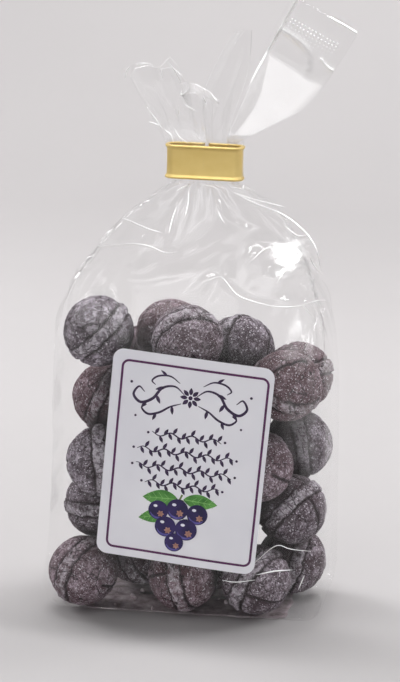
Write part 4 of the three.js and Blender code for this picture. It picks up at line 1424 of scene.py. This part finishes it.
def film_material():
    """Clear film: it lets light straight through and mirrors a little of the studio, more at a slant."""
    look = Look("clear_film")
    waves = look.bump(look.noise(260.0), 0.35, 0.00025)
    slant = look.node("LayerWeight", {"Blend": 0.5, "Normal": waves}).outputs["Facing"]
    folded = look.attribute("folded")
    creased = look.ramp(folded, (0.0, 0.0), (1.0, FOLD_MIRROR))
    mirrored = look.mix(1.0, look.ramp(slant, *MIRROR_SHARES), creased, "LIGHTEN")
    roughness = look.node("MapRange", {"Value": folded, "To Min": FILM_ROUGHNESS, "To Max": FOLD_ROUGHNESS})
    gloss_inputs = {"Color": (1.0, 1.0, 1.0), "Roughness": roughness.outputs["Result"], "Normal": waves}
    clear = look.node("BsdfTransparent", {"Color": (0.992, 0.992, 0.992)}).outputs[0]
    gloss = look.node("BsdfGlossy", gloss_inputs).outputs[0]
    haze = look.node("BsdfDiffuse", {"Color": (0.9, 0.9, 0.9)}).outputs[0]
    haze_share = look.ramp(look.noise(90.0, 4.0), (0.3, 0.004), (0.7, 0.016))
    film = look.node("MixShader", {0: mirrored, 1: clear, 2: gloss}).outputs[0]
    return look.finish(look.node("MixShader", {0: haze_share, 1: film, 2: haze}))


DOTS, DOTS_ACROSS = 14, (0.08, 0.80)  # in each row, and the shares of the flap that it starts and ends at
DOT_ROWS = [(0.80, 0.10), (0.822, 0.12), (0.844, 0.15), (0.866, 0.27), (0.888, 0.27)]  # place up it, radius
DOT_RISE, DOT_SIDES = 0.8, 8  # its height for a radius of 1, and how many faces are round it


def embossed_dots(front):
    """Rows of small raised dots across the flap, some way under its mouth."""
    rows, columns = front.shape[:2]
    dots = Patches()
    angle = np.linspace(0, 2 * math.pi, DOT_SIDES, endpoint=False)[:, None]
    top = 2 * DOT_SIDES
    cap = [[DOT_SIDES + k, DOT_SIDES + (k + 1) % DOT_SIDES, top] for k in range(DOT_SIDES)]
    faces = grid_faces(2, DOT_SIDES, True).tolist() + cap
    normals = grid_normals(front)
    for up_share, radius in DOT_ROWS:
        for share in np.linspace(*DOTS_ACROSS, DOTS):
            at = (int(up_share * (rows - 1)), int(share * (columns - 1)))
            out = normals[at] * -np.sign(normals[at][1])
            along = unit(np.cross(out, (0, 0, 1)))
            ring = radius * (np.cos(angle) * along + np.sin(angle) * np.cross(along, out))
            rise = out * DOT_RISE * radius
            dots.add(front[at] + np.concatenate([ring, 0.7 * (ring + rise), [rise]]), faces)
    return dots


class Film(Patches):
    """Patches of film, which also say how sharply it is creased at each point, from 0 to 1."""

    def __init__(self):
        super().__init__()
        self.folded = []

    def add(self, points, faces, fold=0.0):
        fold = np.asarray(fold, float)
        fold = fold.reshape(fold.shape + (1,) * (points.ndim - 1 - fold.ndim))
        self.folded.append(np.broadcast_to(fold, points.shape[:-1]).ravel())
        super().add(points, faces)

    def add_grid(self, grid, fold=0.0, closed=True):
        self.add(grid, grid_faces(*grid.shape[:2], closed), fold)


def add_tail(film):
    """The flap, the blade and the lobe above the clip, with their rims."""
    front = flap_front()
    flap, blade, lobe = two_layers(front, FLAP_THICKNESS), blade_grid(), lobe_grid()
    film.add_grid(flap, curl_fold(flap[..., 0], flap[..., 2]))
    film.add_grid(blade)
    film.add_grid(lobe)
    flap_right, blade_right = flap.shape[1] // 2, blade.shape[1] // 2
    hem, mouth = flap[HEM_START:, 0], flap[-1, :flap_right + 1]
    film.add_grid(rim_tube(hem, HEM), fading(len(hem), (0.0, 0.45), (1.0, 1.1)))
    film.add_grid(rim_tube(mouth, FOLD_RIM), fading(len(mouth), (0.45, 0.65), (0.95, 1.0)))
    for line, fold in (
        (flap[FLAP_CLEAR:, flap_right], 0.0),
        (blade[BLADE_CLEAR:, 0], BLADE_EDGE_FOLD),
        (blade[BLADE_CLEAR:, blade_right], BLADE_EDGE_FOLD),
        (lobe[-1], LOBE_EDGE_FOLD),
    ):
        film.add_grid(rim_tube(line, EDGE_RIM), fold)
    return front, np.concatenate([lobe.reshape(-1, 3), blade.reshape(-1, 3)])


def make_film():
    film = Film()
    tube = settled_tube()
    film.add_grid(tube)
    film.add_grid(base_panel())
    flap, crumpled = add_tail(film)
    for surface, creases in ((tube, CREASES), (crumpled, TAIL_CREASES)):
        for radius, places in creases:
            film.add_grid(crease(surface, radius, places), 1.0)
    for fold, half_width, places in DOUBLED_FILM:
        ribbon, middle = doubled(tube, half_width, places)
        film.add_grid(ribbon, fold * middle, closed=False)
    dots = embossed_dots(flap)
    film.add(dots.all_points(), dots.faces, 1.0)
    piece = make_mesh("film", film.all_points(), film.faces)
    set_looks(piece, folded=np.concatenate(film.folded))
    dress(piece, film_material(), "film_bag")


# ------------------------------------------------------------------ the clip

CLIP_MIDDLE = (3.1, 0.0, 117.8)
CLIP_TURN = math.radians(1.1)  # clockwise, seen from the front
CLIP_HALF = (9.75, 2.7)
CLIP_HALF_HEIGHT = 4.35
CLIP_CORNER, CLIP_METAL, CLIP_SPLIT = 2.1, 0.6, 1.0
LIP_OUT, LIP_HEIGHT, LIP_RADIUS = 0.42, 0.95, 0.36
DIMPLE_DEPTH, DIMPLE_RADIUS = 0.18, 0.8
SIDE_POINTS, CORNER_POINTS, LIP_POINTS = 14, 9, 9


def clip_profile():
    """The band's cross-section: how far out and how high each point is, round from the inside foot."""
    wall, top = CLIP_METAL, CLIP_HALF_HEIGHT
    half = [(0.0, 0.0), (0.0, top - 0.25), (0.1, top - 0.04), (0.3, top)]
    rim_middle = np.array([wall + LIP_OUT - 0.34, top - LIP_RADIUS])
    for angle in np.radians(np.linspace(85, -60, LIP_POINTS)):
        half.append(tuple(rim_middle + LIP_RADIUS * on_circle(angle)))
    half += [(wall + 0.10, top - LIP_HEIGHT), (wall, top - LIP_HEIGHT - 0.3), (wall - 0.05, 0.0)]
    lower = [(out, -up) for out, up in half[::-1]]
    return np.array(half[1:] + lower[1:-1] + [half[0]])


def clip_path():
    """Points and outward directions round the neck, from one side of the split at the back to the other."""
    points, outward = [], []
    flat = np.array(CLIP_HALF) - CLIP_CORNER
    inner = CLIP_CORNER - CLIP_METAL

    def way(quarter):
        return np.round(on_circle(quarter * math.pi / 2))

    def side(start, end, out):
        for t in np.linspace(0, 1, SIDE_POINTS):
            points.append(start + (end - start) * t)
            outward.append(out)

    split = np.array([CLIP_SPLIT / 2, flat[1] + inner])
    last = split * (-1, 1)
    for quarter, signs in enumerate(((-1, 1), (-1, -1), (1, -1), (1, 1)), 1):
        middle = flat * signs
        side(last, middle + inner * way(quarter), way(quarter))
        for angle in (quarter + np.linspace(0, 1, CORNER_POINTS)[1:-1]) * math.pi / 2:
            points.append(middle + inner * on_circle(angle))
            outward.append(on_circle(angle))
        last = middle + inner * way(quarter + 1)
    side(last, split, way(1))
    return np.array(points), np.array(outward)


def clip_material():
    look = Look("satin_gold")
    tone = look.ramp(look.noise(160.0), (0.3, (0.67, 0.485, 0.155)), (0.7, (0.74, 0.555, 0.205)))
    brushing = look.bump(look.noise(900.0, 4.0), 0.12, 0.00006)
    return look.opaque(tone, 0.36, Metallic=0.45, Normal=brushing)


def make_clip():
    profile = clip_profile()
    path, outward = clip_path()
    x, y = (path[:, k:k + 1] + outward[:, k:k + 1] * profile[:, 0] for k in range(2))
    z = np.broadcast_to(profile[:, 1], x.shape)
    y = y + DIMPLE_DEPTH * np.exp(-(x**2 + z**2) / DIMPLE_RADIUS**2) * (y < -1)
    turned_x = x * math.cos(CLIP_TURN) + z * math.sin(CLIP_TURN)
    turned_z = -x * math.sin(CLIP_TURN) + z * math.cos(CLIP_TURN)
    around, along = len(profile), len(path)
    ends = [list(range(around)), [(along - 1) * around + k for k in range(around)][::-1]]
    vertices = np.stack([turned_x, y, turned_z], -1).reshape(-1, 3) + CLIP_MIDDLE
    piece = make_mesh("gold_clip", vertices, grid_faces(along, around, True).tolist() + ends)
    piece.modifiers.new("weighted_normals", "WEIGHTED_NORMAL").keep_sharp = True
    dress(piece, clip_material(), "neck_clip")


# ------------------------------------------------------------------ everything together

make_camera()
make_backdrop()
light_studio()
make_label()
make_clip()
make_sweets()
sugar = loose_sugar_material()
make_loose_sugar(sugar)
make_crumbs(sugar)
make_film()
